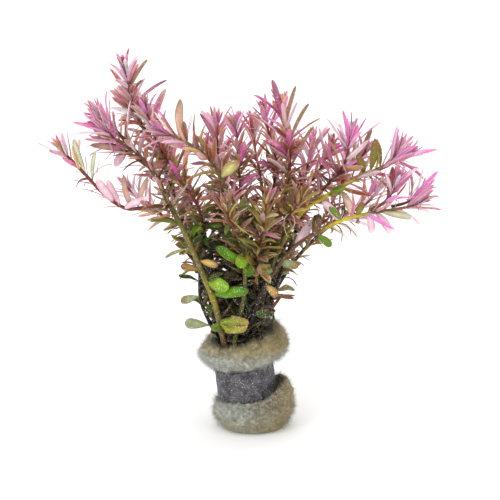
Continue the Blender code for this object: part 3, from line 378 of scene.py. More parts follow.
def smooth_path(points):
    """Points at an even spacing on a Catmull-Rom curve through the given ones."""
    points = np.asarray(points, float)
    knots = np.vstack([2 * points[0] - points[1], points, 2 * points[-1] - points[-2]])
    t = np.linspace(0, 1, 24, endpoint=False)[:, None]
    spans = [
        0.5 * (2 * b + (c - a) * t + (2 * a - 5 * b + 4 * c - d) * t**2 + (3 * b - a - 3 * c + d) * t**3)
        for a, b, c, d in zip(knots, knots[1:], knots[2:], knots[3:])
    ]
    curve = np.vstack([*spans, points[-1:]])
    along = lengths_along(curve)
    wanted = np.linspace(0, along[-1], max(int(round(along[-1] / PATH_SPACING)), 3) + 1)
    return np.stack([np.interp(wanted, along, curve[:, k]) for k in range(3)], axis=1)


def radii_along(path, radii):
    along = lengths_along(path)
    return radii[0] + (radii[1] - radii[0]) * along / along[-1]


def stem_start(slot):
    """The points of a stem inside the foam: upright in its slot, and spreading at the mouth."""
    radius, angle = slot[0], math.radians(slot[1])
    heights = np.array([POCKET_FLOOR + 1.5, 12.0, 22.0, MOUTH_HEIGHT])
    spread = radius * np.array([1.0, 1.0, 1.03, MOUTH_SPREAD])
    return leaned(np.stack([spread * math.cos(angle), spread * math.sin(angle), heights], axis=1))


def kept_in_pocket(points, radii):
    """Moves points inside the foam in from its wall."""
    local = unleaned(points)
    inside = local[:, 2] < MOUTH_HEIGHT + 2
    most = np.interp(local[:, 2], [24, MOUTH_HEIGHT], [POCKET_RADIUS, MOUTH_RADIUS]) - radii - GAP - 0.1
    distance = np.maximum(np.linalg.norm(local[:, :2], axis=1), 1e-6)
    share = np.where(inside, np.minimum(1, most / distance), 1)
    local[:, :2] *= share[:, None]
    x, y, height = local.T
    return np.stack([
        x * math.cos(BASE_LEAN) - height * math.sin(BASE_LEAN),
        y,
        height * math.cos(BASE_LEAN) + x * math.sin(BASE_LEAN),
    ], axis=1)


def kept_apart(paths, radii, still, still_radii, rounds=70):
    """Pushes stems apart where two come closer than STEM_GAP. Each point moves by the sum of its pushes, the
    moves are smoothed along the stem, and the points in still, which belong to other stems, stay."""
    first = np.vstack(paths)
    radius = np.concatenate(radii)
    owner = np.concatenate([np.full(len(path), k) for k, path in enumerate(paths)])
    place = np.concatenate([np.arange(len(path)) for path in paths])
    last = np.concatenate([np.full(len(path), len(path) - 1) for path in paths])
    held = place < 2
    rooted = not len(still)
    others = np.vstack([first, still]) if len(still) else first
    other_radius = np.concatenate([radius, still_radii])
    stranger = owner[:, None] != np.concatenate([owner, np.full(len(still), -1)])[None]
    if not rooted:
        stranger[place < 3, len(first):] = False
    moved = first.copy()
    for _ in range(rounds):
        others[: len(moved)] = moved
        apart = moved[:, None] - others[None]
        distance = np.maximum(np.linalg.norm(apart, axis=2), 1e-6)
        lacking = radius[:, None] + other_radius[None] + STEM_GAP - distance
        push = np.where(stranger & (lacking > 0), 0.5 * lacking / distance, 0)
        change = moved - first + 0.7 * (push[:, :, None] * apart).sum(axis=1)
        before = change[np.maximum(np.arange(len(change)) - 1, 0)]
        after = change[np.minimum(np.arange(len(change)) + 1, len(change) - 1)]
        inner = (place > 0) & (place < last)
        change[inner] += 0.25 * (0.5 * (before + after) - change)[inner]
        change[held] = 0
        moved = first + change
        if rooted:
            moved = kept_in_pocket(moved, radius)
    return [moved[owner == k] for k in range(len(paths))]


def fork_start(parent_path, parent_radii, route, radius):
    """The side shoot's own points: it begins just clear of its parent's surface."""
    nearest = int(np.argmin(np.linalg.norm(parent_path - np.array(route[0], float), axis=1)))
    nearest = min(max(nearest, 1), len(parent_path) - 2)
    along = unit(parent_path[nearest + 1] - parent_path[nearest - 1])
    towards = np.array(route[1], float) - parent_path[nearest]
    outward = unit(towards - along * np.dot(towards, along))
    clear = SQUARE_CORNER * (parent_radii[nearest] + radius) + GAP
    return parent_path[nearest] + clear * outward


def all_paths():
    """Every stem's and side shoot's centre line and radii, by name."""
    names = list(STEMS)
    paths = [smooth_path(np.vstack([stem_start(s.slot), s.route])) for s in STEMS.values()]
    radii = [radii_along(path, s.radii) for path, s in zip(paths, STEMS.values())]
    paths = kept_apart(paths, radii, np.empty((0, 3)), np.empty(0))
    settled = {name: (path, radius) for name, path, radius in zip(names, paths, radii)}
    still = np.vstack([path for path, _ in settled.values()])
    still_radii = np.concatenate([radius for _, radius in settled.values()])
    paths = []
    for side in SIDES.values():
        start = fork_start(*settled[side.parent], side.route, side.radii[0])
        paths.append(smooth_path(np.vstack([start, side.route[1:]])))
    radii = [radii_along(path, side.radii) for path, side in zip(paths, SIDES.values())]
    paths = kept_apart(paths, radii, still, still_radii)
    settled.update({name: (path, radius) for name, path, radius in zip(SIDES, paths, radii)})
    return settled


class Course:
    """A stem's centre line read by distance from its tip: point, tangent, outward and sideways vectors."""

    def __init__(self, path, radii, turn):
        self.path = path
        self.radii = radii
        self.along = lengths_along(path)
        self.length = self.along[-1]
        bow = path[-1] - path[0]
        self.level = unit(np.cross(bow, UP))
        self.turn = math.radians(turn)

    def at(self, distance):
        s = self.length - distance
        point = np.array([np.interp(s, self.along, self.path[:, k]) for k in range(3)])
        ahead = np.array([np.interp(s + 1.5, self.along, self.path[:, k]) for k in range(3)])
        behind = np.array([np.interp(s - 1.5, self.along, self.path[:, k]) for k in range(3)])
        tangent = unit(ahead - behind)
        level = unit(self.level - tangent * np.dot(self.level, tangent))
        across = np.cross(tangent, level)
        outward = math.cos(self.turn) * level + math.sin(self.turn) * across
        radius = float(np.interp(s, self.along, self.radii))
        return point, tangent, outward, np.cross(tangent, outward), radius

    def distance_at_height(self, height):
        nearest = int(np.argmin(np.abs(self.path[:, 2] - height)))
        return self.length - self.along[nearest]


class Leaf:
    """A leaf as its midrib's base, sections and tip. Each section is (centre, width, across, normal)."""

    def __init__(self, node, quarter, base, sections, tip):
        self.node = node
        self.quarter = quarter
        self.base = base
        self.sections = sections
        self.tip = tip


def side_of(outward, sideways, quarter):
    """The outward vector of one of the stem's four sides."""
    return (outward, sideways, -outward, -sideways)[quarter]


def turned_to(vector, other, angle):
    return math.cos(angle) * vector + math.sin(angle) * other


def narrow_leaf(course, node, quarter, length, width, pitch, habit, attempt):
    """A narrow leaf: it rises from the stem at pitch, and its outer half bends away by the habit's curl."""
    near, far = node
    more_pitch, swing, shorter = ATTEMPTS[attempt]
    point, tangent, outward, sideways, radius = course.at(0.5 * (near + far))
    out = side_of(outward, sideways, quarter)
    beside = np.cross(tangent, out)
    away = turned_to(out, beside, math.radians(swing + habit["swing"]))
    across = unit(np.cross(tangent, away))
    length = length * shorter * habit["size"]
    first = math.radians(pitch + more_pitch + habit["pitch"])
    second = first + math.radians(habit["curl"])
    rising = unit(turned_to(tangent, away, first) + habit["lift"] * UP)
    ending = unit(turned_to(tangent, away, second) + habit["lift"] * UP)
    base = point + radius * out
    middle = base + LEAF_MIDDLE * length * rising
    tip = middle + (1 - LEAF_MIDDLE) * length * ending
    normal = unit(np.cross(unit(rising + ending), across))
    across, normal = (
        turned_to(across, normal, math.radians(habit["roll"])),
        turned_to(normal, -across, math.radians(habit["roll"])),
    )
    return Leaf(node, quarter, base, [(middle, width, across, normal)], tip)


def quarter_towards(outward, sideways, reach):
    """The side of the stem that faces the way a leaf reaches."""
    return int(np.argmax([np.dot(side_of(outward, sideways, q), reach) for q in range(4)]))


def long_leaf(course, node, long, attempt):
    """A narrow leaf with a tip of its own: it sets out a little nearer to the stem than its tip lies."""
    _, swing, shorter = ATTEMPTS[attempt]
    point, tangent, outward, sideways, radius = course.at(0.5 * (node[0] + node[1]))
    reach = np.array(long.reach, float) * shorter
    reach = turned_to(reach, np.cross(unit(reach), UP) * np.linalg.norm(reach), 0.5 * math.radians(swing))
    quarter = quarter_towards(outward, sideways, reach)
    base = point + radius * side_of(outward, sideways, quarter)
    tip = point + reach
    aim = unit(tip - base)
    across = unit(np.cross(np.array(FORWARD, float), aim))
    middle = base + LEAF_MIDDLE * (tip - base) + LONG_BOW * np.linalg.norm(reach) * tangent
    return Leaf(node, quarter, base, [(middle, long.width, across, np.cross(aim, across))], tip)


def broad_leaf(course, node, broad, attempt):
    """A broad old leaf: a short stalk, then a blade at its widest a little past the middle."""
    _, swing, shorter = ATTEMPTS[attempt]
    point, tangent, outward, sideways, radius = course.at(0.5 * (node[0] + node[1]))
    reach = np.array(broad.reach, float) * shorter
    level = np.cross(UP, reach)
    reach = turned_to(reach, level, math.radians(swing))
    quarter = quarter_towards(outward, sideways, reach)
    base = point + radius * side_of(outward, sideways, quarter)
    tip = point + reach
    aim = unit(tip - base)
    across = unit(np.cross(np.array(broad.face, float), aim))
    normal = np.cross(aim, across)
    sag = 0.06 * np.linalg.norm(reach) * normal
    sections = [
        (base + 0.36 * (tip - base) + 0.8 * sag, 0.82 * broad.width, across, normal),
        (base + 0.72 * (tip - base) + 0.8 * sag, 0.94 * broad.width, across, normal),
    ]
    return Leaf(node, quarter, base, sections, tip)


def habits(seed):
    """Endless small differences between leaves, the same on every run."""
    chance = np.random.default_rng(seed)
    while True:
        size, pitch, swing, curl, roll, lift = chance.uniform(-1, 1, 6)
        yield {
            "size": 1 + 0.14 * size,
            "pitch": 7 * pitch,
            "swing": 12 * swing,
            "curl": 7 + 13 * curl,
            "roll": 34 * roll,
            "lift": 0.16 + 0.12 * lift,
        }


def leaf_choices(name, plant, course, long, broad):
    """For each leaf, the long ones first, a function that gives its shape at an attempt, its width, None where
    it has a kind of its own, and its distance from the stem's tip."""
    habit_of = habits(sum(map(ord, name)))
    choices = []
    for leaf in long:
        node = (leaf.distance - PAIR_HALF_HEIGHT, leaf.distance + PAIR_HALF_HEIGHT)
        choices.append((lambda k, n=node, b=leaf: long_leaf(course, n, b, k), None, leaf.distance))
    for whorl in WHORLS:
        node = (whorl.near, whorl.far)
        size = (whorl.length * plant.size, whorl.width * plant.size, whorl.pitch * WIDE_TIPS.get(name, 1.0))
        for quarter in range(4):
            habit = next(habit_of)
            shape = lambda k, n=node, q=quarter, s=size, h=habit: narrow_leaf(course, n, q, *s, h, k)
            choices.append((shape, whorl.width or BUD_LEAF_WIDTH, whorl.near))
    for rank, distance in enumerate(PAIR_DISTANCES):
        for quarter in (rank % 2, rank % 2 + 2):
            habit = next(habit_of)
            if distance > plant.leafy or distance > course.length - 4:
                continue
            node = (distance - PAIR_HALF_HEIGHT, distance + PAIR_HALF_HEIGHT)
            size = (PAIR_LENGTHS[rank] * plant.size, PAIR_WIDTH * plant.size, PAIR_PITCHES[rank])
            shape = lambda k, n=node, q=quarter, s=size, h=habit: narrow_leaf(course, n, q, *s, h, k)
            choices.append((shape, PAIR_WIDTH * plant.size, distance))
    for leaf in broad:
        middle = course.distance_at_height(leaf.height)
        node = (middle - PAIR_HALF_HEIGHT, middle + PAIR_HALF_HEIGHT)
        choices.append((lambda k, n=node, b=leaf: broad_leaf(course, n, b, k), None, middle))
    return choices


def foam_profile():
    """The foam's outline as (radius, height): up the pocket's wall, over the rim, and down the outside."""
    return [
        (0, POCKET_FLOOR), (POCKET_RADIUS - 0.4, POCKET_FLOOR), (POCKET_RADIUS, 8), (POCKET_RADIUS, 24),
        (MOUTH_RADIUS, MOUTH_HEIGHT - 1), (12.2, 35.4), (14.0, 35.3), (15.6, 33.6), (16.2, 31.0),
        (15.4, 28.0), (13.0, 25.5), (WAIST_RADIUS, WAIST_TOP), (WAIST_RADIUS, WAIST_BOTTOM), (11.9, 11.3),
        (12.8, 12.2), (14.1, 11.4), (14.8, 9.2), (14.5, 6.0), (13.4, 2.6), (FOOT_RADIUS, 0), (0, 0),
    ]


def foam_lumps(points):
    """Makes the turned foam uneven: its collars bulge to the right, its rim rises at the back and right, a
    fold of it climbs beside the ribbon at the right, and its surface swells and dips."""
    x, y, height = points.T
    radius = np.hypot(x, y)
    angle = np.arctan2(y, x)
    outside = radius > 11.4
    lower = outside & (height < 14)
    upper = outside & (height > 24)
    collar = np.where(lower, np.clip(height / 4, 0, 1), np.where(upper, 1.0, 0.0))
    bulge = np.where(lower, LOWER_BULGE, UPPER_BULGE) * np.cos(angle)
    waves = 0.45 * np.sin(3 * angle + 0.3 * height) + 0.35 * np.sin(5 * angle - 0.5 * height + 1.0)
    least = np.where(lower & (height > WAIST_BOTTOM - 0.1), LIP_RADIUS, 0)
    wanted = np.maximum(radius + collar * (bulge + waves), least)
    scale = np.where(radius > 1, wanted / np.maximum(radius, 1), 1)
    rim = np.clip((height - 28) / 6, 0, 1) * (radius > 10)
    lift = rim * (1.3 * np.cos(angle) + 1.2 * np.sin(angle) + 0.4 * np.sin(4 * angle))
    fold = lower & (height > 10.5) & (radius > 12.5)
    lift = lift + np.where(fold, FOLD_RISE * np.clip(1.4 * np.cos(angle - 0.1) - 0.3, 0, 1), 0)
    return np.stack([x * scale, y * scale, height + lift], axis=1)


# Leaves as they look: profiles, colours and the small ones that the solids leave out.
WIDTHS = {
    "yellow": 1.3, "magenta": 0.62, "hot": 0.7, "olive_tan": 0.62, "stub": 1.5, "pale": 0.9,
    "round": 1.35, "fresh": 1.1, "torn_yellow": 1.25,
}
PLAIN_LONG_WIDTH = 0.78
CROSSWISE = (1.0, 0.5, 0.0, -0.5, -1.0)
NEEDLE_CROSSWISE = (1.0, 0.0, -1.0)
BROAD_CROSSWISE = (1.0, 0.72, 0.38, 0.0, -0.38, -0.72, -1.0)
TUBE_SIDES = 12
TUBE_STEP = 0.8
MATCH = 0.02


def srgb(red, green, blue):
    """A colour in steps of 0 to 255 as the linear values that shaders read."""
    steps = np.array([red, green, blue]) / 255
    return np.where(steps <= 0.04045, steps / 12.92, ((steps + 0.055) / 1.055) ** 2.4)


BUD_PURPLE = srgb(124, 54, 98)
PURPLE = srgb(188, 100, 150)
MAUVE = srgb(196, 142, 162)
ROSE = srgb(232, 142, 178)
DUSTY_ROSE = srgb(224, 160, 152)
SALMON = srgb(232, 144, 120)
HOT_PINK = srgb(244, 120, 192)
PALE_PINK = srgb(250, 214, 230)
TAN = srgb(210, 180, 162)
OLIVE_TAN = srgb(146, 126, 94)
RED_BROWN = srgb(144, 76, 60)
GOLD = srgb(184, 158, 72)
BROWN = srgb(142, 104, 62)
DARK_BROWN = srgb(84, 58, 40)
OLIVE = srgb(134, 130, 52)
LEAF_GREEN = srgb(96, 140, 42)
FRESH_GREEN = srgb(112, 170, 22)
FOREST_GREEN = srgb(56, 106, 14)
LIME = srgb(152, 188, 46)
DEEP_GREEN = srgb(58, 98, 38)
GREY_GREEN = srgb(142, 156, 118)
PALE_GREEN = srgb(200, 208, 178)
YELLOW = srgb(214, 200, 74)
AMBER = srgb(200, 164, 76)
BLACK_GREEN = srgb(34, 46, 26)
BLACK_BROWN = srgb(54, 38, 32)
CREAM = srgb(232, 226, 192)
STEM_RED = srgb(138, 66, 60)
STEM_OLIVE = srgb(134, 120, 60)
STEM_DARK = srgb(62, 46, 38)
STEM_YELLOW = srgb(222, 204, 44)
STEM_GREEN = srgb(104, 106, 48)
STEM_BLACK = srgb(36, 31, 26)
STEM_TAN = srgb(180, 136, 96)
STEM_BROWN = srgb(118, 88, 62)

YOUTH_LENGTH = 22.0
LEAF_AGES = (0.0, 0.1, 0.25, 0.45, 0.62, 0.78, 1.0)
LEAF_COLOURS = np.array([BUD_PURPLE, PURPLE, ROSE, DUSTY_ROSE, BROWN, OLIVE, LEAF_GREEN])

# How pink a plant's leaves are, 0 to 1, and how pale. The paleness is partly the leaves' own colour and
# partly painted light, the washed-out glow of backlit young leaves.
BLUSH = {
    "stem_left_thick": (1.6, 3.4),
    "stem_left_tallest": (0.8, 2.0),
    "shoot_far_left": (0.3, 1.0),
    "shoot_left_upper": (2.0, 3.0),
    "shoot_left_lower": (2.5, 5.0),
    "stem_middle_tall": (0.8, 0.3),
    "stem_middle_slender": (0.9, 0.2),
    "stem_middle_upright": (0.7, 0.3),
    "stem_right_star": (5.0, 4.0),
    "shoot_star_side": (0.6, 0.6),
    "stem_right_low": (1.5, 8.0),
    "shoot_low_right_end": (2.5, 8.0),
    "shoot_low_right_inner": (2.5, 5.0),
    "stem_right_yellow": (1.6, 2.4),
    "shoot_yellow_side": (3.5, 4.0),
    "stem_back_right": (0.6, 3.0),
    "shoot_back_right_side": (0.6, 3.0),
    "stem_right_upright": (0.6, 0.8),
    "shoot_back_left_side": (0.5, 1.5),
}
PLAIN_BLUSH = (0.4, 0.3)

# Shoots that face the front low in the bunch have old, olive-brown tips of thin leaves.
AGED = {"stem_front_short": 34.0, "shoot_arching_front": 34.0, "shoot_tall_front": 30.0}
AGED_WIDTH = 0.6

# The height below which a stem carries no small leaves, and how many small leaves it has against the others.
BARE_BELOW = {
    "stem_left_thick": 82,
    "shoot_far_left": 86,
    "stem_right_low": 80,
    "stem_right_yellow": 82,
}
PLAIN_BARE_BELOW = 58
FULLNESS = {
    "shoot_far_left": 0.2,
    "stem_right_low": 0.4,
    "stem_right_yellow": 0.7,
    "shoot_low_right_end": 0.4,
    "shoot_low_right_inner": 0.6,
    "shoot_left_lower": 0.7,
    "stem_left_thick": 1.3,
    "stem_left_dark": 1.7,
    "stem_left_tallest": 1.7,
    "stem_left_arching": 1.2,
    "stem_middle_tall": 1.9,
    "stem_middle_slender": 1.9,
    "stem_middle_upright": 1.9,
    "stem_middle_rosette": 1.6,
    "stem_front_short": 1.8,
    "shoot_tall_front": 1.6,
    "stem_right_dark": 1.7,
    "stem_right_star": 1.5,
    "stem_right_upright": 1.5,
}

# A stem's colours at shares of its length from the tip.
STEM_COLOURS = {
    "stem_left_thick": (
        (0.05, STEM_RED), (0.2, STEM_BROWN), (0.34, STEM_GREEN), (0.46, STEM_OLIVE), (0.52, STEM_GREEN),
        (0.61, STEM_YELLOW * 0.5), (0.69, STEM_OLIVE), (0.78, STEM_BROWN), (1.0, STEM_GREEN),
    ),
    "stem_left_arching": ((0.04, STEM_TAN), (0.12, STEM_OLIVE), (0.22, STEM_GREEN), (0.9, STEM_GREEN)),
    "stem_left_dark": ((0.05, STEM_RED), (0.3, STEM_RED), (0.45, STEM_DARK), (0.7, STEM_BLACK)),
    "stem_middle_tall": ((0.05, STEM_RED), (0.5, STEM_RED), (0.8, STEM_DARK)),
    "stem_right_yellow": (
        (0.05, STEM_TAN), (0.14, STEM_OLIVE), (0.19, STEM_YELLOW), (0.36, STEM_YELLOW), (0.44, STEM_OLIVE),
        (0.56, STEM_DARK), (0.7, STEM_BLACK),
    ),
    "stem_right_low": (
        (0.05, STEM_TAN), (0.14, STEM_OLIVE), (0.2, STEM_YELLOW), (0.27, STEM_YELLOW), (0.33, STEM_BROWN),
        (0.48, STEM_BROWN), (0.58, STEM_DARK), (0.7, STEM_BLACK),
    ),
}
PLAIN_STEM = ((0.05, STEM_RED), (0.45, STEM_DARK), (0.75, STEM_BLACK))
PLAIN_SHOOT = ((0.05, STEM_RED), (0.6, STEM_RED), (1.0, STEM_BROWN))


def mixed(first, second, share):
    share = np.asarray(share, float)[..., None]
    return (1 - share) * np.asarray(first) + share * np.asarray(second)


def youth(distance):
    """0 at a stem's tip and nearly 1 far below it: one less the falling exponential of the distance."""
    return 1 - np.exp(-np.asarray(distance, float) / YOUTH_LENGTH)


def colour_of_age(age):
    return np.array([np.interp(age, LEAF_AGES, LEAF_COLOURS[:, k]) for k in range(3)])


def leaf_tints(name, distance, chance):
    """A narrow leaf's colours inside, at its edges and at its point: the colour of its age, turned by chance
    towards one of a few others that the plant favours. Turning towards pale pink is partly painted light, the
    washed-out glow of backlit young leaves."""
    blush, pale = BLUSH.get(name, PLAIN_BLUSH)
    distance = distance + AGED.get(name, 0.0)
    age = float(np.clip(youth(distance) + chance.uniform(-0.14, 0.14), 0, 1))
    colour = colour_of_age(age)
    others = (HOT_PINK, PALE_PINK, TAN, MAUVE, GOLD, RED_BROWN)
    young = np.clip(1.1 - 1.1 * age, 0, 1)
    leaning = np.array([blush * young, pale * young, 0.35 * young, 0.35 * young, 0.1 + 0.7 * age, 0.1 + 0.9 * age])
    favoured = others[chance.choice(len(others), p=leaning / leaning.sum())]
    colour = mixed(colour, favoured, chance.uniform(0.2, 1.0)) * chance.uniform(0.62, 1.8)
    rim = mixed(colour, favoured, 0.4) * chance.uniform(0.6, 0.95)
    point = mixed(colour, (TAN, OLIVE_TAN, PURPLE, RED_BROWN)[chance.integers(4)], chance.uniform(0.1, 0.6))
    return np.minimum(colour, 0.95), np.minimum(rim, 0.95), point


Blade = namedtuple(
    "Blade", "base middle tip across width widest blunt fold wave twist thickness tint rim point",
)


def blade_points(blades, rows, crosswise):
    """Closed thin leaves as rings of points: [leaf, row, place in the ring, xyz], with their UV and tint.

    The midrib is the parabola through base, middle and tip. The width at a share t of the length is
    W (t/m)^(km) ((1-t)/(1-m))^(k(1-m)), at its widest W at m. A point at a share s of the half width stands off
    the midrib by fold |s| and a sine wave along the edge, and the two faces part by the thickness (1 - |s|^3).
    The tint turns to the rim's with s squared, and to the point's over the outer half of the length."""
    count = len(blades)
    column = {name: np.array([getattr(blade, name) for blade in blades], float) for name in Blade._fields}
    t = np.linspace(0, 1, rows)[None, :, None]
    m = LEAF_MIDDLE
    from_base = (t - m) * (t - 1) / m
    from_middle = t * (t - 1) / (m * (m - 1))
    from_tip = t * (t - m) / (1 - m)
    base, middle, tip = (column[name][:, None] for name in ("base", "middle", "tip"))
    line = from_base * base + from_middle * middle + from_tip * tip
    tangent = unit(np.gradient(line, axis=1))
    across = column["across"][:, None] + 0 * line
    across = unit(across - tangent * (across * tangent).sum(axis=2, keepdims=True))
    normal = np.cross(tangent, across)
    twist = column["twist"][:, None, None] * t
    across, normal = np.cos(twist) * across + np.sin(twist) * normal, np.cos(twist) * normal - np.sin(twist) * across

    widest, blunt, width = (column[name][:, None] for name in ("widest", "blunt", "width"))
    share = np.clip(t[..., 0], 0.004, 0.996)
    spread = (share / widest) ** (blunt * widest) * ((1 - share) / (1 - widest)) ** (blunt * (1 - widest))
    half = 0.5 * width * np.maximum(spread, np.where(share < widest, 0.2, 0.05))

    top = np.array(crosswise)
    places = np.concatenate([top, -top[1:-1]])
    side = np.concatenate([np.ones(len(top)), -np.ones(len(top) - 2)])
    s = places[None, None, :]
    apart = 0.5 * side * (1 - np.abs(s) ** 3) * column["thickness"][:, None, None]
    keel = np.where(side < 0, -0.6, 0) * np.exp(-((s / 0.15) ** 2)) * column["thickness"][:, None, None]
    edge_wave = np.sin(9 * t + 7 * width[..., None] + 2.5 * np.sign(s)) * np.abs(s) * column["wave"][:, None, None]
    rise = half[..., None] * (column["fold"][:, None, None] * np.abs(s) + edge_wave) + apart + keel
    points = (
        line[:, :, None] + (half[..., None] * s)[..., None] * across[:, :, None] + rise[..., None] * normal[:, :, None]
    )
    uv = np.stack(np.broadcast_arrays(0.5 + 0.5 * s + 0 * t, t + 0 * s), axis=-1)
    uv = np.broadcast_to(uv, (count, rows, len(places), 2))
    inside, rim, point = (column[name][:, None, None] for name in ("tint", "rim", "point"))
    outer = np.clip(2 * t - 1, 0, 1)[..., None]
    tint = mixed(inside, rim, (s + 0 * t) ** 2)
    return points, uv, (1 - outer) * tint + outer * point


def swept_faces(count, rows, places, start):
    """The faces of closed tubes: quads between neighbouring rings, and a flat face over each end."""
    tube, row, place = np.meshgrid(np.arange(count), np.arange(rows - 1), np.arange(places), indexing="ij")
    corner = start + tube * rows * places + row * places
    after = (place + 1) % places
    quads = np.stack([corner + place, corner + after, corner + places + after, corner + places + place], axis=-1)
    ring = np.arange(places)
    first = start + np.arange(count)[:, None] * rows * places
    ends = np.concatenate([first + ring[::-1], first + (rows - 1) * places + ring])
    return quads.reshape(-1, 4).tolist() + ends.tolist()


class Form:
    """Collects swept parts of one piece, each with a material of its own."""

    def __init__(self):
        self.points = []
        self.uv = []
        self.tint = []
        self.faces = []
        self.finish = []
        self.size = 0

    def add(self, points, uv, tint, finish):
        count, rows, places = points.shape[:3]
        made = swept_faces(count, rows, places, self.size)
        self.points.append(points.reshape(-1, 3))
        self.uv.append(np.asarray(uv).reshape(-1, 2))
        self.tint.append(np.asarray(tint).reshape(-1, 3))
        self.faces += made
        self.finish += [finish] * len(made)
        self.size += count * rows * places

    def piece(self, name, materials):
        mesh = bpy.data.meshes.new(name)
        points = np.vstack(self.points) * MM
        mesh.from_pydata(points.tolist(), [], self.faces)
        corners_at = np.empty(len(mesh.loops), int)
        mesh.loops.foreach_get("vertex_index", corners_at)
        layer = mesh.uv_layers.new(name="UVMap")
        layer.data.foreach_set("uv", np.vstack(self.uv)[corners_at].ravel())
        colour = mesh.color_attributes.new("tint", "FLOAT_COLOR", "POINT")
        tint = np.vstack(self.tint)
        colour.data.foreach_set("color", np.hstack([tint, np.ones((len(tint), 1))]).ravel())
        for made in materials:
            mesh.materials.append(made)
        mesh.polygons.foreach_set("material_index", self.finish)
        mesh.polygons.foreach_set("use_smooth", [True] * len(mesh.polygons))
        mesh.update()
        made = bpy.data.objects.new(name, mesh)
        bpy.context.scene.collection.objects.link(made)
        return made


def stem_tube(name, course, into_parent):
    """A stem's skin: circles carried along its centre line, a little wider at each pair of leaves."""
    distance = np.linspace(course.length, 0.15, max(int(course.length / TUBE_STEP), 8))
    frames = [course.at(d) for d in distance]
    centre = np.array([f[0] for f in frames])
    outward = np.array([f[2] for f in frames])
    sideways = np.array([f[3] for f in frames])
    radius = np.array([f[4] for f in frames])
    radius = radius * np.interp(distance, [0, 2.5, 8], [0.35, 0.75, 0.95])
    swelling = np.exp(-((distance[:, None] - np.array(PAIR_DISTANCES)) / 0.8) ** 2).sum(axis=1)
    knots = np.exp(-((np.mod(distance, 6.5) - 3.2) / 0.6) ** 2) * (distance > 52)
    radius = radius * (1 + 0.16 * swelling + 0.13 * knots)
    centre[0] -= into_parent * unit(centre[1] - centre[0])
    angle = 2 * math.pi * np.arange(TUBE_SIDES) / TUBE_SIDES
    squarish = 1 + 0.05 * np.cos(4 * angle)
    circle = np.cos(angle)[:, None, None] * outward + np.sin(angle)[:, None, None] * sideways
    points = centre + (squarish[:, None] * radius)[..., None] * circle
    points = np.transpose(points, (1, 0, 2))[None]
    stops = STEM_COLOURS.get(name, PLAIN_STEM if name in STEMS else PLAIN_SHOOT)
    shares = [0.0] + [share for share, _ in stops]
    colours = np.array([BUD_PURPLE] + [colour for _, colour in stops])
    share = distance / course.length
    tint = np.stack([np.interp(share, shares, colours[:, k]) for k in range(3)], axis=1)
    uv = np.stack(np.broadcast_arrays(np.arange(TUBE_SIDES) / TUBE_SIDES, distance[:, None] / 10), axis=-1)
    tint = np.broadcast_to(tint[None, :, None], points.shape)
    return points, uv[None], tint


# Kinds of leaf: its colours inside, at its edges and at its point, where along it the leaf is widest, and how its
# ends narrow.
LEAF_KINDS = {
    "fresh": (FRESH_GREEN, FOREST_GREEN, FOREST_GREEN * 1.2, 0.58, 1.1),
    "round": (LIME, FRESH_GREEN * 0.7, FRESH_GREEN, 0.56, 1.05),
    "green": (LEAF_GREEN, FOREST_GREEN, LEAF_GREEN * 0.8, 0.62, 1.3),
    "spoon": (GREY_GREEN * 1.25, LEAF_GREEN, GREY_GREEN, 0.72, 1.7),
    "grey": (GREY_GREEN * 1.3, LEAF_GREEN, BROWN, 0.62, 1.4),
    "deep": (DEEP_GREEN, DEEP_GREEN * 0.6, BLACK_GREEN, 0.6, 1.3),
    "olive": (OLIVE, LEAF_GREEN * 0.6, BROWN * 0.8, 0.62, 1.2),
    "yellow": (mixed(YELLOW, CREAM, 0.4), OLIVE * 0.7, BROWN, 0.55, 1.2),
    "amber": (AMBER * 1.2, BROWN, BROWN * 0.8, 0.62, 1.4),
    "brown": (BROWN, DARK_BROWN, DARK_BROWN, 0.55, 1.3),
    "olive_tan": (OLIVE_TAN, DUSTY_ROSE * 0.7, OLIVE_TAN * 0.8, 0.52, 0.8),
    "tan": (TAN, DUSTY_ROSE * 0.85, OLIVE_TAN, 0.5, 0.9),
    "mauve": (MAUVE, PURPLE * 0.7, BUD_PURPLE, 0.45, 1.0),
    "purple": (PURPLE, DUSTY_ROSE, TAN, 0.48, 0.9),
    "hot": (HOT_PINK, PURPLE, ROSE, 0.5, 0.9),
    # The pale kind is partly painted light, the washed-out glow of backlit leaves.
    "pale": (PALE_PINK, ROSE, PALE_PINK, 0.52, 0.9),
    "pale_green": (PALE_GREEN, OLIVE_TAN, PALE_GREEN, 0.55, 0.9),
    "dark": (RED_BROWN, BUD_PURPLE, DARK_BROWN, 0.5, 1.0),
    "magenta": (PURPLE * 0.85, BUD_PURPLE, MAUVE * 0.6, 0.55, 0.7),
    "torn_olive": (OLIVE * 1.3, LEAF_GREEN * 0.7, BROWN, 0.55, 0.9),
    "torn_yellow": (mixed(YELLOW, FRESH_GREEN, 0.4), LEAF_GREEN, AMBER * 0.7, 0.55, 0.9),
    "stub": (STEM_BROWN, STEM_BROWN, STEM_DARK, 0.6, 0.12),
}

# The kinds of LONG_LEAVES and of BROAD_LEAVES, in the same order.
LONG_KINDS = (
    "olive_tan", "olive_tan", "mauve", "purple", "purple", "hot", "tan", "olive_tan", "purple", "yellow",
    "tan", "pale", "pale_green", "pale_green", "pale", "pale", "pale", "tan", "tan", "mauve",
    "dark", "hot", "hot", "dark", "magenta", "hot", "magenta", "olive_tan", "olive_tan", "hot",
    "hot", "olive_tan", "olive_tan", "olive", "olive", "olive", "dark", "pale_green", "pale", "pale",
    "tan", "pale", "stub", "pale",
)
TORN_KINDS = ("torn_olive", "torn_yellow")
BROAD_KINDS = (
    "green", "grey", "amber", "deep", "grey", "spoon", "deep", "round", "amber", "fresh",
    "fresh", "fresh", "round", "fresh", "green", "olive", "torn_olive", "grey", "torn_yellow", "amber",
    "brown", "brown", "green", "green", "olive", "deep", "olive", "deep", "green", "olive",
    "deep", "brown", "deep", "deep", "olive", "green", "olive", "deep",
)


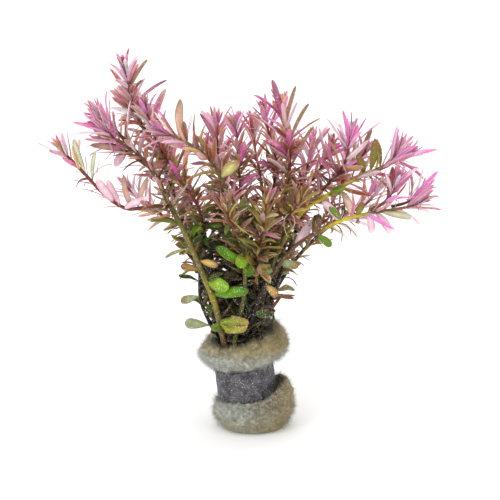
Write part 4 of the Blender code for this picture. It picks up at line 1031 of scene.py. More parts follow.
def dressed(leaf, name, chance, width, distance):
    """The blade that stands for a narrow leaf of the solids."""
    centre, _, across, _ = leaf.sections[0]
    tint, rim, point = leaf_tints(name, distance, chance)
    if name in AGED:
        width = AGED_WIDTH * width
    return Blade(
        base=leaf.base - 0.3 * unit(centre - leaf.base),
        middle=centre,
        tip=leaf.tip,
        across=across,
        width=width * chance.uniform(0.58, 0.9),
        widest=chance.uniform(0.38, 0.56),
        blunt=chance.uniform(0.6, 1.0),
        fold=chance.uniform(0.0, 0.5),
        wave=chance.uniform(0.0, 0.1),
        twist=chance.uniform(-0.5, 0.5),
        thickness=0.2,
        tint=tint,
        rim=rim,
        point=point,
    )


def of_kind(leaf, kind, chance):
    """The blade that stands for a long or broad leaf of the solids, with the looks of its kind. A cut side stem
    is a thick one that hardly narrows."""
    tint, rim, point, widest, blunt = LEAF_KINDS[kind]
    first, width, across, _ = leaf.sections[0]
    middle = first
    if len(leaf.sections) == 2:
        middle = first + (LEAF_MIDDLE - 0.36) / 0.36 * (leaf.sections[1][0] - first)
        width = WIDTHS.get(kind, 1.0) * width
    else:
        width = WIDTHS.get(kind, PLAIN_LONG_WIDTH) * width
    blade = Blade(
        base=leaf.base - 0.3 * unit(first - leaf.base),
        middle=middle,
        tip=leaf.tip,
        across=across,
        width=width,
        widest=widest + chance.uniform(-0.04, 0.04),
        blunt=blunt * chance.uniform(0.9, 1.1),
        fold=chance.uniform(0.1, 0.55),
        wave=chance.uniform(0.08, 0.26),
        twist=chance.uniform(-0.45, 0.45),
        thickness=0.2,
        tint=tint * chance.uniform(0.88, 1.1),
        rim=rim,
        point=point,
    )
    if kind == "stub":
        return [blade._replace(thickness=2.4, fold=0.0, wave=0.0)]
    if kind in TORN_KINDS:
        return torn(blade)
    return [blade]


def torn(blade):
    """A leaf with a hole rotted through it: a wide strip and a narrow one that bow apart from base to tip."""
    strips = []
    for shift, width, wave, green in ((0.2, 0.72, 0.9, 0.55), (-0.34, 0.44, 1.2, 0.0)):
        strips.append(blade._replace(
            middle=blade.middle + shift * blade.width * blade.across, width=width * blade.width, blunt=0.6,
            fold=0.1, wave=wave, twist=0.5 * shift, tint=mixed(blade.tint, blade.rim, green), rim=blade.point * 0.6,
        ))
    return strips


def chosen_attempt(choice, corners_found):
    """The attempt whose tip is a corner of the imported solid, or None where the solid has no such leaf."""
    for attempt in range(len(ATTEMPTS)):
        leaf = choice(attempt)
        if np.linalg.norm(corners_found - leaf.tip, axis=1).min() < MATCH:
            return leaf
    return None


def small_leaf(course, distance, turn, length, width, pitch, curl, tints, chance):
    """A leaf too small for the solids: it rises at pitch on the side given by turn, and bends by curl."""
    point, tangent, outward, sideways, radius = course.at(distance)
    out = turned_to(outward, sideways, turn)
    across = unit(np.cross(tangent, out))
    rising = unit(turned_to(tangent, out, math.radians(pitch)) + 0.12 * UP)
    ending = unit(turned_to(tangent, out, math.radians(pitch + curl)) + 0.12 * UP)
    base = point + 0.7 * radius * out
    middle = base + LEAF_MIDDLE * length * rising
    normal = unit(np.cross(unit(rising + ending), across))
    return Blade(
        base=base,
        middle=middle,
        tip=middle + (1 - LEAF_MIDDLE) * length * ending,
        across=turned_to(across, normal, chance.uniform(-0.9, 0.9)),
        width=width,
        widest=chance.uniform(0.36, 0.54),
        blunt=chance.uniform(0.6, 1.1),
        fold=chance.uniform(0.0, 0.5),
        wave=chance.uniform(0.0, 0.15),
        twist=chance.uniform(-0.9, 0.9),
        thickness=0.18,
        tint=tints[0],
        rim=tints[1],
        point=tints[2],
    )


def bud_leaves(course, plant, name, chance):
    """Small upright leaves round the growing tip, and a few between its whorls."""
    blades = []
    sizes = (
        (0.5, 4.6, 1.2, 6), (0.5, 4.2, 1.2, 8), (0.7, 5.2, 1.4, 8), (0.9, 5.6, 1.4, 10),
        (2.8, 7.6, 1.8, 15), (3.2, 8.2, 1.8, 18), (6.6, 9.6, 2.0, 32),
    )
    for k, (distance, length, width, pitch) in enumerate(sizes if FULLNESS.get(name, 1.0) > 0.5 else sizes[:4]):
        turn = (0.5 + k) * math.pi / 2 + chance.uniform(-0.4, 0.4)
        blades.append(small_leaf(
            course, distance, turn, length * plant.size * chance.uniform(0.8, 1.1), width * plant.size,
            pitch + chance.uniform(-5, 6), chance.uniform(0, 12), leaf_tints(name, distance, chance), chance,
        ))
    return blades


def between_leaves(course, plant, name, chance):
    """Narrow leaves between the pairs of the solids on the upper part of a stem."""
    blades = []
    fullness = FULLNESS.get(name, 1.0)
    turn = chance.uniform(0, math.pi)
    for distance in np.arange(8.5, min(24, course.length - 6), 3.4 / fullness):
        for side in range(1 + (chance.uniform() < 0.5)):
            length = chance.uniform(7.0, 11.0) * plant.size
            pitch = 30 + 1.2 * distance + chance.uniform(-12, 16)
            blades.append(small_leaf(
                course, distance + chance.uniform(-0.8, 0.8), turn + math.pi * side + chance.uniform(-0.5, 0.5),
                length, chance.uniform(1.4, 2.3) * plant.size, pitch, chance.uniform(-5, 25),
                leaf_tints(name, distance, chance), chance,
            ))
        turn += 0.5 * math.pi
    return blades


NEEDLE_COLOURS = (RED_BROWN, STEM_RED, BROWN, GOLD, DARK_BROWN, OLIVE, OLIVE)
ROUND_COLOURS = (OLIVE, OLIVE, LEAF_GREEN, LEAF_GREEN, OLIVE_TAN, GOLD)
PINK_COLOURS = (SALMON, DUSTY_ROSE, DUSTY_ROSE, ROSE, MAUVE, RED_BROWN, PURPLE)
ROUND_SHARE = 0.3
NEEDLE_STEP = 1.0


def needle_leaves(course, plant, name, chance):
    """Fine needles crowded on the middle of a stem, from a little below its tip to where it is bare."""
    blades = []
    _, pale = BLUSH.get(name, PLAIN_BLUSH)
    fullness = FULLNESS.get(name, 1.0)
    bare_below = BARE_BELOW.get(name, PLAIN_BARE_BELOW)
    for distance in np.arange(15, course.length - 4, NEEDLE_STEP / fullness):
        height = course.at(distance)[0][2]
        if height < bare_below:
            break
        rounder = chance.uniform() < ROUND_SHARE
        colours = ROUND_COLOURS if rounder else NEEDLE_COLOURS
        if chance.uniform() < np.clip((height - 72) / 26, 0.05, 0.6 + 0.1 * pale):
            colours = PINK_COLOURS
        tint = colours[chance.integers(len(colours))]
        tint = mixed(tint, colour_of_age(youth(distance)), chance.uniform(0, 0.5)) * chance.uniform(0.55, 1.6)
        leaf = small_leaf(
            course, distance, chance.uniform(0, 2 * math.pi), chance.uniform(4.5, 9.5),
            chance.uniform(0.5, 1.0) * (3.6 if rounder else 1.8), chance.uniform(40, 95), chance.uniform(-25, 35),
            (tint, tint * 0.5, tint * 0.8), chance,
        )
        blades.append(leaf._replace(widest=0.62, blunt=1.6) if rounder else leaf)
    return blades


def thread_leaves(course, name, chance):
    """A few leaves so thin that they look like threads."""
    blades = []
    for _ in range(7):
        distance = chance.uniform(6, min(0.6 * course.length, 60))
        tint = mixed(leaf_tints(name, distance, chance)[0], RED_BROWN, 0.4)
        blades.append(small_leaf(
            course, distance, chance.uniform(0, 2 * math.pi), chance.uniform(7, 12), 0.4,
            chance.uniform(35, 80), chance.uniform(-10, 45), (tint, tint, tint), chance,
        )._replace(blunt=0.5))
    return blades


def old_leaves(course, chance):
    """Old leaves crowded on the lower stems, kept over the foam's mouth. Their near-black colour is partly their
    own and partly painted shade, the deep shade inside the lower bunch.
    """
    blades = []
    for height in np.arange(36, 82, 0.5):
        distance = course.distance_at_height(height + chance.uniform(-1, 1))
        tint = mixed(BLACK_GREEN, BLACK_BROWN, chance.uniform(0, 0.7)) * chance.uniform(0.5, 2.0)
        # Painted shade: leaves lighten towards olive and green with height above 62 mm, as the shade in the bunch
        # thins; about one in eight is lighter at random.
        lighter = np.clip((height - 62) / 22, 0, 1) * 0.8 + (chance.uniform(0, 1) > 0.88) * 0.4
        tint = mixed(tint, mixed(OLIVE, DEEP_GREEN, chance.uniform(0, 1)), lighter)
        leaf = small_leaf(
            course, distance, chance.uniform(0, 2 * math.pi), chance.uniform(4.5, 9.5), chance.uniform(1.6, 4.2),
            chance.uniform(45, 110), chance.uniform(-30, 45), (tint, tint * 0.8, tint * 0.8), chance,
        )
        x, y, z = leaf.tip
        reach = 12.4 + 0.1 * (z - 35)
        if math.hypot(x - 1.8 + math.tan(BASE_LEAN) * z, y) < reach and 34.5 < z < 84:
            blades.append(leaf)
    return blades


# Threads that stand out: the stem and how far from its tip each grows, its middle and its tip from there,
# its width and its colour.
Thread = namedtuple("Thread", "stem distance middle tip width colour")
THREADS = (
    Thread("shoot_far_left", 26, (-6, -1, 3.2), (-11.5, -2, 4.4), 0.3, GREY_GREEN * 0.6),
    Thread("shoot_far_left", 33, (-4.5, -2, 1.2), (-8.4, -3, 1.0), 0.3, GREY_GREEN * 0.6),
    Thread("shoot_far_left", 20, (-0.5, 0, 5.2), (0.6, 0, 10.2), 0.3, MAUVE),
    Thread("shoot_tall_front", 12, (1.5, -3, -2.5), (-0.5, -3.5, -6.5), 0.32, CREAM),
    Thread("shoot_tall_front", 12.5, (-2.0, -3.5, -1.5), (-1.0, -4, -7.5), 0.32, CREAM),
    Thread("shoot_tall_front", 14, (3.0, -2.5, 0.5), (4.2, -3, -4.0), 0.32, CREAM),
    Thread("stem_right_low", 34, (4.5, -1, 0.8), (7.0, -1.5, -3.5), 0.4, OLIVE * 0.6),
    Thread("stem_right_star", 62, (3.5, -4, 1.5), (6.5, -5, -1.5), 0.4, DARK_BROWN),
)


def named_threads(name, course):
    """The threads of THREADS on one stem."""
    blades = []
    for thread in THREADS:
        if thread.stem != name:
            continue
        point = course.at(thread.distance)[0]
        middle, tip = point + np.array(thread.middle), point + np.array(thread.tip)
        across = unit(np.cross(tip - point, FORWARD))
        blades.append(Blade(
            point, middle, tip, across, thread.width, 0.5, 0.3, 0.0, 0.0, 0.0, 0.25,
            thread.colour, thread.colour, thread.colour,
        ))
    return blades


def plant_blades(name, plant, course, node, chance):
    """The blades of the solids' leaves: the plain narrow ones, and those with a kind of their own."""
    found = np.array([vertex.co for vertex in node.data.vertices]) / MM
    long_here = [leaf for leaf in LONG_LEAVES if leaf.stem == name]
    broad_here = [leaf for leaf in BROAD_LEAVES if leaf.stem == name]
    kinds = [kind for leaf, kind in zip(LONG_LEAVES, LONG_KINDS) if leaf.stem == name]
    kinds += [kind for leaf, kind in zip(BROAD_LEAVES, BROAD_KINDS) if leaf.stem == name]
    plain, special = [], []
    for choice, width, distance in leaf_choices(name, plant, course, long_here, broad_here):
        leaf = chosen_attempt(choice, found)
        kind = kinds.pop(0) if width is None else None
        if leaf is None:
            continue
        if kind:
            special += of_kind(leaf, kind, chance)
        else:
            plain.append(dressed(leaf, name, chance, width, distance))
    return plain, special


def plant_piece(name, course, node, materials):
    """One stem or side shoot with all its leaves."""
    plant = STEMS.get(name) or SIDES[name]
    chance = np.random.default_rng(7 + sum(map(ord, name)))
    plain, special = plant_blades(name, plant, course, node, chance)
    plain += bud_leaves(course, plant, name, chance)
    plain += between_leaves(course, plant, name, chance)
    fine = needle_leaves(course, plant, name, chance)
    fine += thread_leaves(course, name, chance)
    fine += named_threads(name, course)
    form = Form()
    form.add(*stem_tube(name, course, 0.0 if name in STEMS else 1.2), 0)
    form.add(*blade_points(plain, 11, CROSSWISE), 1)
    form.add(*blade_points(fine, 7, NEEDLE_CROSSWISE), 1)
    if special:
        form.add(*blade_points(special, 15, BROAD_CROSSWISE), 2)
    if name in STEMS:
        form.add(*blade_points(old_leaves(course, chance), 8, CROSSWISE), 2)
    made = form.piece(name + "_plant", materials)
    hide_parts(name)
    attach(made, "root")
    return made


def swells(points, size, seed, waves=14):
    """A smooth random field over space: the mean of sine waves of about one length in all directions."""
    chance = np.random.default_rng(seed)
    towards = unit(chance.normal(size=(waves, 3)))
    pace = 2 * math.pi / (size * chance.uniform(0.75, 1.4, waves))
    start = chance.uniform(0, 2 * math.pi, waves)
    return np.sin(points @ (towards * pace[:, None]).T + start).sum(axis=-1) / math.sqrt(waves)


def curve_through(knots, steps):
    """A Catmull-Rom surface between rows of points: knots is [row, place, xyz], and each span gets steps rows."""
    rows = np.concatenate([2 * knots[:1] - knots[1:2], knots, 2 * knots[-1:] - knots[-2:-1]])
    made = []
    for a, b, c, d, count in zip(rows, rows[1:], rows[2:], rows[3:], steps):
        t = np.linspace(0, 1, count, endpoint=False)[:, None, None]
        made.append(0.5 * (
            2 * b + (c - a) * t + (2 * a - 5 * b + 4 * c - d) * t**2 + (3 * b - a - 3 * c + d) * t**3
        ))
    return np.concatenate([*made, knots[-1:]])


FOAM_SIDES = 230
FOAM_STEP = 0.5
FOAM_HAIRS = 24000


def foam_surface():
    """The foam's skin: the profile of the solids turned about the axis with its lumps, made smooth, and
    roughened by swells of three sizes everywhere but on the sole and under the ribbon."""
    angle = 2 * math.pi * np.arange(FOAM_SIDES) / FOAM_SIDES
    profile = np.array(foam_profile()[1:-1], float)
    radius, height = profile.T
    knots = np.stack([
        radius[:, None] * np.cos(angle), radius[:, None] * np.sin(angle), height[:, None] + 0 * angle,
    ], axis=-1)
    shape = knots.shape
    knots = leaned(foam_lumps(knots.reshape(-1, 3))).reshape(shape)
    spans = np.linalg.norm(np.diff(profile, axis=0), axis=1)
    points = curve_through(knots, np.maximum((spans / FOAM_STEP).astype(int), 2))
    around = np.roll(points, -1, axis=1) - np.roll(points, 1, axis=1)
    along = np.gradient(points, axis=0)
    normal = unit(np.cross(along, around))
    local = unleaned(points.reshape(-1, 3)).reshape(points.shape)
    off_waist = np.abs(local[..., 2] - 0.5 * (WAIST_TOP + WAIST_BOTTOM)) - 0.5 * (WAIST_TOP - WAIST_BOTTOM)
    bound = (np.hypot(local[..., 0], local[..., 1]) < 11.6) * np.clip(-off_waist, 0, 1)
    loose = np.clip(points[..., 2] / 2.5, 0, 1) * (1 - bound)
    rough = 0.34 * swells(points, 5.0, 3) + 0.26 * swells(points, 2.1, 4) + 0.2 * swells(points, 1.0, 5)
    points = points + (loose * rough)[..., None] * normal
    points[..., 2] = np.maximum(points[..., 2], 0.02)
    return points, normal


def foam_fibres(points, normal, count, chance):
    """Short hairs on the foam: each is a thin three-sided spike from a point of the skin."""
    rows = len(points)
    weight = np.clip((points[..., 2] - 0.5) / 2, 0, 1) * (np.arange(rows) > 0.2 * rows)[:, None]
    local = unleaned(points.reshape(-1, 3))
    waist = (local[:, 2] > WAIST_BOTTOM) & (local[:, 2] < WAIST_TOP) & (np.hypot(local[:, 0], local[:, 1]) < 11.6)
    weight = weight.ravel() * ~waist
    picked = chance.choice(len(local), count, p=weight / weight.sum())
    foot = points.reshape(-1, 3)[picked] + chance.normal(scale=0.15, size=(count, 3))
    out = normal.reshape(-1, 3)[picked]
    aim = unit(out + 0.75 * chance.normal(size=(count, 3)))
    length = chance.uniform(0.5, 1.3, (count, 1)) ** 2 + 0.5 + 0.9 * (chance.uniform(size=(count, 1)) > 0.8)
    line = np.stack([foot - 0.3 * out, foot + length * aim], axis=1)
    line[..., 2] = np.maximum(line[..., 2], 0.07)
    level = unit(np.cross(aim, chance.normal(size=(count, 3))))
    across = np.cross(aim, level)
    turn = 2 * math.pi * np.arange(3) / 3
    circle = np.cos(turn)[:, None, None] * level + np.sin(turn)[:, None, None] * across
    thick = np.array([0.045, 0.012])[None, :, None, None]
    return line[:, :, None] + thick * np.transpose(circle, (1, 0, 2))[:, None]


def foam_piece(materials):
    points, normal = foam_surface()
    points[..., 2] = np.maximum(points[..., 2], 0.0)
    chance = np.random.default_rng(11)
    form = Form()
    skin = np.transpose(points, (0, 1, 2))[None]
    uv = np.zeros((*skin.shape[:3], 2))
    form.add(skin, uv, np.broadcast_to(TAN, skin.shape), 0)
    made = form.piece("foam_sponge", materials[:1])
    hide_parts("foam_wrap")
    hairs = foam_fibres(points, normal, FOAM_HAIRS, chance)
    fuzz = Form()
    fuzz.add(hairs, np.zeros((*hairs.shape[:3], 2)), np.broadcast_to(TAN, hairs.shape), 0)
    return made, fuzz.piece("foam_fuzz", materials[1:])


def ribbon_piece(material):
    """The ribbon as a rounded flat section carried along its spiral, with shallow dents and a slight climb."""
    steps = 170
    turn = np.linspace(-RIBBON_TURNS, 0, steps)
    angle = RIBBON_END_ANGLE + 2 * math.pi * turn
    half = 0.5 * (WAIST_TOP - WAIST_BOTTOM) - GAP
    middle = 0.5 * (WAIST_TOP + WAIST_BOTTOM)
    rise = np.linspace(-1, 1, 25)[1:-1]
    outer = np.stack([np.full(23, 0.5), rise], axis=1)
    bow = np.linspace(0, math.pi, 7)
    cap = np.stack([0.5 * np.cos(bow), 1 + 0.03 * np.sin(bow)], axis=1)
    ring = np.concatenate([outer, cap, outer[::-1] * [-1, 1], -cap])
    inner = WAIST_RADIUS + GAP + RIBBON_PITCH * (turn + RIBBON_TURNS)
    radius = inner[:, None] + RIBBON_THICKNESS * (ring[None, :, 0] + 0.5)
    climb = 0.55 * (turn + 0.5 * RIBBON_TURNS)
    height = middle + (half - 0.4) * ring[None, :, 1] + climb[:, None]
    points = np.stack([radius * np.cos(angle)[:, None], radius * np.sin(angle)[:, None], height], axis=-1)
    dents = 0.07 * swells(points, 6.0, 21) + 0.03 * swells(points, 2.2, 22)
    outwards = points * [1, 1, 0] / np.linalg.norm(points[..., :2], axis=-1, keepdims=True)
    points = points + dents[..., None] * outwards
    points = leaned(points.reshape(-1, 3)).reshape(points.shape)[::-1][None]
    uv = np.stack(np.broadcast_arrays(np.linspace(0, RIBBON_TURNS * 5, steps)[:, None], ring[None, :, 1]), axis=-1)
    form = Form()
    form.add(points, uv[::-1], np.broadcast_to(STEM_DARK, points.shape), 0)
    made = form.piece("lead_ribbon", [material])
    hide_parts("lead_band")
    return made


def node_group(name, inputs, outputs):
    """A shader node group with float, colour or vector sockets given as (name, kind, value)."""
    group = bpy.data.node_groups.new(name, "ShaderNodeTree")
    for title, kind, value in inputs:
        socket = group.interface.new_socket(name=title, in_out="INPUT", socket_type="NodeSocket" + kind)
        if value is not None:
            socket.default_value = value
    for title, kind in outputs:
        group.interface.new_socket(name=title, in_out="OUTPUT", socket_type="NodeSocket" + kind)
    start = group.nodes.new("NodeGroupInput")
    end = group.nodes.new("NodeGroupOutput")
    return group, start, end


def math_node(tree, operation, first, second=None, third=None):
    node = tree.nodes.new("ShaderNodeMath")
    node.operation = operation
    for socket, value in zip(node.inputs, (first, second, third)):
        if value is None:
            continue
        if isinstance(value, (int, float)):
            socket.default_value = value
        else:
            tree.links.new(value, socket)
    return node.outputs[0]


def ranged(tree, value, low, high, to_low=0.0, to_high=1.0):
    node = tree.nodes.new("ShaderNodeMapRange")
    node.interpolation_type = "SMOOTHSTEP"
    for title, number in (("From Min", low), ("From Max", high), ("To Min", to_low), ("To Max", to_high)):
        node.inputs[title].default_value = number
    tree.links.new(value, node.inputs["Value"])
    return node.outputs["Result"]


def noise(tree, vector, scale, detail=3.0):
    node = tree.nodes.new("ShaderNodeTexNoise")
    node.inputs["Detail"].default_value = detail
    if isinstance(scale, (int, float)):
        node.inputs["Scale"].default_value = scale
    else:
        tree.links.new(scale, node.inputs["Scale"])
    tree.links.new(vector, node.inputs["Vector"])
    return node.outputs["Fac"]


def blended(tree, share, first, second, kind="MIX"):
    """A Mix node between two colours, each a link or plain values."""
    node = tree.nodes.new("ShaderNodeMix")
    node.data_type = "RGBA"
    node.blend_type = kind
    if isinstance(share, (int, float)):
        node.inputs["Factor"].default_value = share
    else:
        tree.links.new(share, node.inputs["Factor"])
    for socket, value in ((node.inputs[6], first), (node.inputs[7], second)):
        if isinstance(value, bpy.types.NodeSocket):
            tree.links.new(value, socket)
        else:
            socket.default_value = (*value, 1)
    return node.outputs[2]


def specks_of(tree, vector, scale, amount, size):
    """Dots at the middles of the cells of a Voronoi pattern, in the share of cells given by amount."""
    cells = tree.nodes.new("ShaderNodeTexVoronoi")
    cells.inputs["Scale"].default_value = scale
    tree.links.new(vector, cells.inputs["Vector"])
    chosen = tree.nodes.new("ShaderNodeSeparateColor")
    tree.links.new(cells.outputs["Color"], chosen.inputs["Color"])
    kept = math_node(tree, "LESS_THAN", chosen.outputs["Red"], amount)
    reach = math_node(tree, "MULTIPLY_ADD", chosen.outputs["Green"], size, 0.5 * size)
    near = math_node(tree, "LESS_THAN", cells.outputs["Distance"], reach)
    return math_node(tree, "MULTIPLY", kept, near)


def speckle_group():
    """White specks of dust and tiny bubbles in two sizes, more of them low on the bunch."""
    group, start, end = node_group(
        "speckle", [("Vector", "Vector", None), ("Amount", "Float", 0.5)], [("Mask", "Float")],
    )
    vector = start.outputs["Vector"]
    part = group.nodes.new("ShaderNodeSeparateXYZ")
    group.links.new(vector, part.inputs["Vector"])
    low_down = ranged(group, part.outputs["Z"], 0.04, 0.1, 1.0, 0.25)
    amount = math_node(group, "MULTIPLY", start.outputs["Amount"], low_down)
    fine = specks_of(group, vector, 1700.0, amount, 0.2)
    coarse = specks_of(group, vector, 700.0, math_node(group, "MULTIPLY", amount, 0.2), 0.12)
    faint = math_node(group, "MULTIPLY", fine, 0.65)
    group.links.new(math_node(group, "MAXIMUM", faint, coarse), end.inputs["Mask"])
    return group


def vein_group():
    """A leaf's midrib and side veins from its UV: a band at the middle, and slanting lines to either side."""
    group, start, end = node_group(
        "leaf veins",
        [("UV", "Vector", None), ("Pairs", "Float", 9.0), ("Slant", "Float", 2.2)],
        [("Midrib", "Float"), ("Veins", "Float"), ("Edge", "Float")],
    )
    part = group.nodes.new("ShaderNodeSeparateXYZ")
    group.links.new(start.outputs["UV"], part.inputs["Vector"])
    off = math_node(group, "ABSOLUTE", math_node(group, "MULTIPLY_ADD", part.outputs["X"], 2.0, -1.0))
    group.links.new(ranged(group, off, 0.04, 0.24, 1.0, 0.0), end.inputs["Midrib"])
    climb = math_node(group, "MULTIPLY", off, start.outputs["Slant"])
    lines = math_node(group, "MULTIPLY_ADD", part.outputs["Y"], start.outputs["Pairs"],
                      math_node(group, "MULTIPLY", climb, -1.0))
    wave = math_node(group, "SINE", math_node(group, "MULTIPLY", lines, 2 * math.pi))
    group.links.new(ranged(group, wave, 0.6, 1.0), end.inputs["Veins"])
    group.links.new(ranged(group, off, 0.7, 1.0), end.inputs["Edge"])
    return group


def mottle_group():
    """Soft patches: noise of two sizes, stretched to run from 0 to 1."""
    group, start, end = node_group(
        "mottling", [("Vector", "Vector", None), ("Scale", "Float", 300.0)], [("Patches", "Float"), ("Fine", "Float")],
    )
    coarse = noise(group, start.outputs["Vector"], start.outputs["Scale"])
    finer = math_node(group, "MULTIPLY", start.outputs["Scale"], 4.3)
    fine = noise(group, start.outputs["Vector"], finer)
    group.links.new(ranged(group, coarse, 0.35, 0.65), end.inputs["Patches"])
    group.links.new(ranged(group, fine, 0.3, 0.7), end.inputs["Fine"])
    return group


def placed(tree, group, **values):
    node = tree.nodes.new("ShaderNodeGroup")
    node.node_tree = group
    for title, value in values.items():
        if isinstance(value, bpy.types.NodeSocket):
            tree.links.new(value, node.inputs[title])
        else:
            node.inputs[title].default_value = value
    return node.outputs


SHINE = 0.22


def new_material(name, roughness, subsurface=0.0, radius=(0.0, 0.0, 0.0), metallic=0.0):
    made = bpy.data.materials.new(name)
    made.use_nodes = True
    tree = made.node_tree
    shader = tree.nodes["Principled BSDF"]
    shader.inputs["Roughness"].default_value = roughness
    shader.inputs["Metallic"].default_value = metallic
    shader.inputs["Specular IOR Level"].default_value = SHINE
    shader.inputs["Subsurface Weight"].default_value = subsurface
    if subsurface:
        shader.inputs["Subsurface Radius"].default_value = radius
        shader.inputs["Subsurface Scale"].default_value = MM
    spot = tree.nodes.new("ShaderNodeTexCoord")
    return made, tree, shader, spot


def bumped(tree, shader, height, strength, distance):
    bump = tree.nodes.new("ShaderNodeBump")
    bump.inputs["Strength"].default_value = strength
    bump.inputs["Distance"].default_value = distance
    tree.links.new(height, bump.inputs["Height"])
    tree.links.new(bump.outputs["Normal"], shader.inputs["Normal"])


def leaf_material(name, groups, light_through, browning, specks, midrib):
    """Leaf skin: the leaf's own tint with patches, a midrib of its own shade, darker veins, edges that have gone
    brown in places, and specks of dust."""
    made, tree, shader, spot = new_material(name, 0.42, light_through, (1.6, 0.9, 1.0))
    uv = spot.outputs["UV"]
    place = spot.outputs["Object"]
    tint = tree.nodes.new("ShaderNodeAttribute")
    tint.attribute_name = "tint"
    veins = placed(tree, groups["veins"], UV=uv)
    patches = placed(tree, groups["mottle"], Vector=place, Scale=420.0)
    colour = blended(tree, math_node(tree, "MULTIPLY", patches["Patches"], 0.5), tint.outputs["Color"],
                     (0.62, 0.6, 0.5), "MULTIPLY")
    colour = blended(tree, math_node(tree, "MULTIPLY", patches["Fine"], 0.25), colour, (0.7, 0.7, 0.6), "MULTIPLY")
    colour = blended(tree, math_node(tree, "MULTIPLY", veins["Veins"], 0.22), colour, (0.45, 0.4, 0.35), "MULTIPLY")
    colour = blended(tree, math_node(tree, "MULTIPLY", veins["Midrib"], 0.5), colour, midrib, "MULTIPLY")
    scorched = math_node(tree, "MULTIPLY", veins["Edge"], patches["Patches"])
    colour = blended(tree, math_node(tree, "MULTIPLY", scorched, browning), colour, tuple(BROWN))
    dust = placed(tree, groups["speckle"], Vector=place, Amount=specks)
    colour = blended(tree, dust["Mask"], colour, (0.86, 0.86, 0.84))
    tree.links.new(colour, shader.inputs["Base Color"])
    height = math_node(tree, "MULTIPLY_ADD", veins["Veins"], -0.5, math_node(tree, "MULTIPLY", patches["Fine"], 0.5))
    bumped(tree, shader, height, 0.35, 0.0002)
    tree.links.new(ranged(tree, patches["Patches"], 0.0, 1.0, 0.34, 0.52), shader.inputs["Roughness"])
    return made


def stem_material(groups):
    """Stem skin: its tint, with long streaks, darker patches and dust."""
    made, tree, shader, spot = new_material("stem skin", 0.4, 0.15, (0.8, 0.4, 0.2))
    place = spot.outputs["Object"]
    tint = tree.nodes.new("ShaderNodeAttribute")
    tint.attribute_name = "tint"
    stretched = tree.nodes.new("ShaderNodeMapping")
    stretched.inputs["Scale"].default_value = (34.0, 1.0, 1.0)
    tree.links.new(spot.outputs["UV"], stretched.inputs["Vector"])
    streaks = noise(tree, stretched.outputs["Vector"], 1.0)
    patches = placed(tree, groups["mottle"], Vector=place, Scale=260.0)
    colour = blended(tree, ranged(tree, streaks, 0.35, 0.65, 0.0, 0.65), tint.outputs["Color"], (0.5, 0.45, 0.4), "MULTIPLY")
    colour = blended(tree, math_node(tree, "MULTIPLY", patches["Patches"], 0.65), colour, (0.6, 0.5, 0.45), "MULTIPLY")
    dust = placed(tree, groups["speckle"], Vector=place, Amount=1.0)
    colour = blended(tree, dust["Mask"], colour, (0.86, 0.86, 0.84))
    tree.links.new(colour, shader.inputs["Base Color"])
    bumped(tree, shader, math_node(tree, "ADD", streaks, patches["Fine"]), 0.3, 0.0002)
    return made


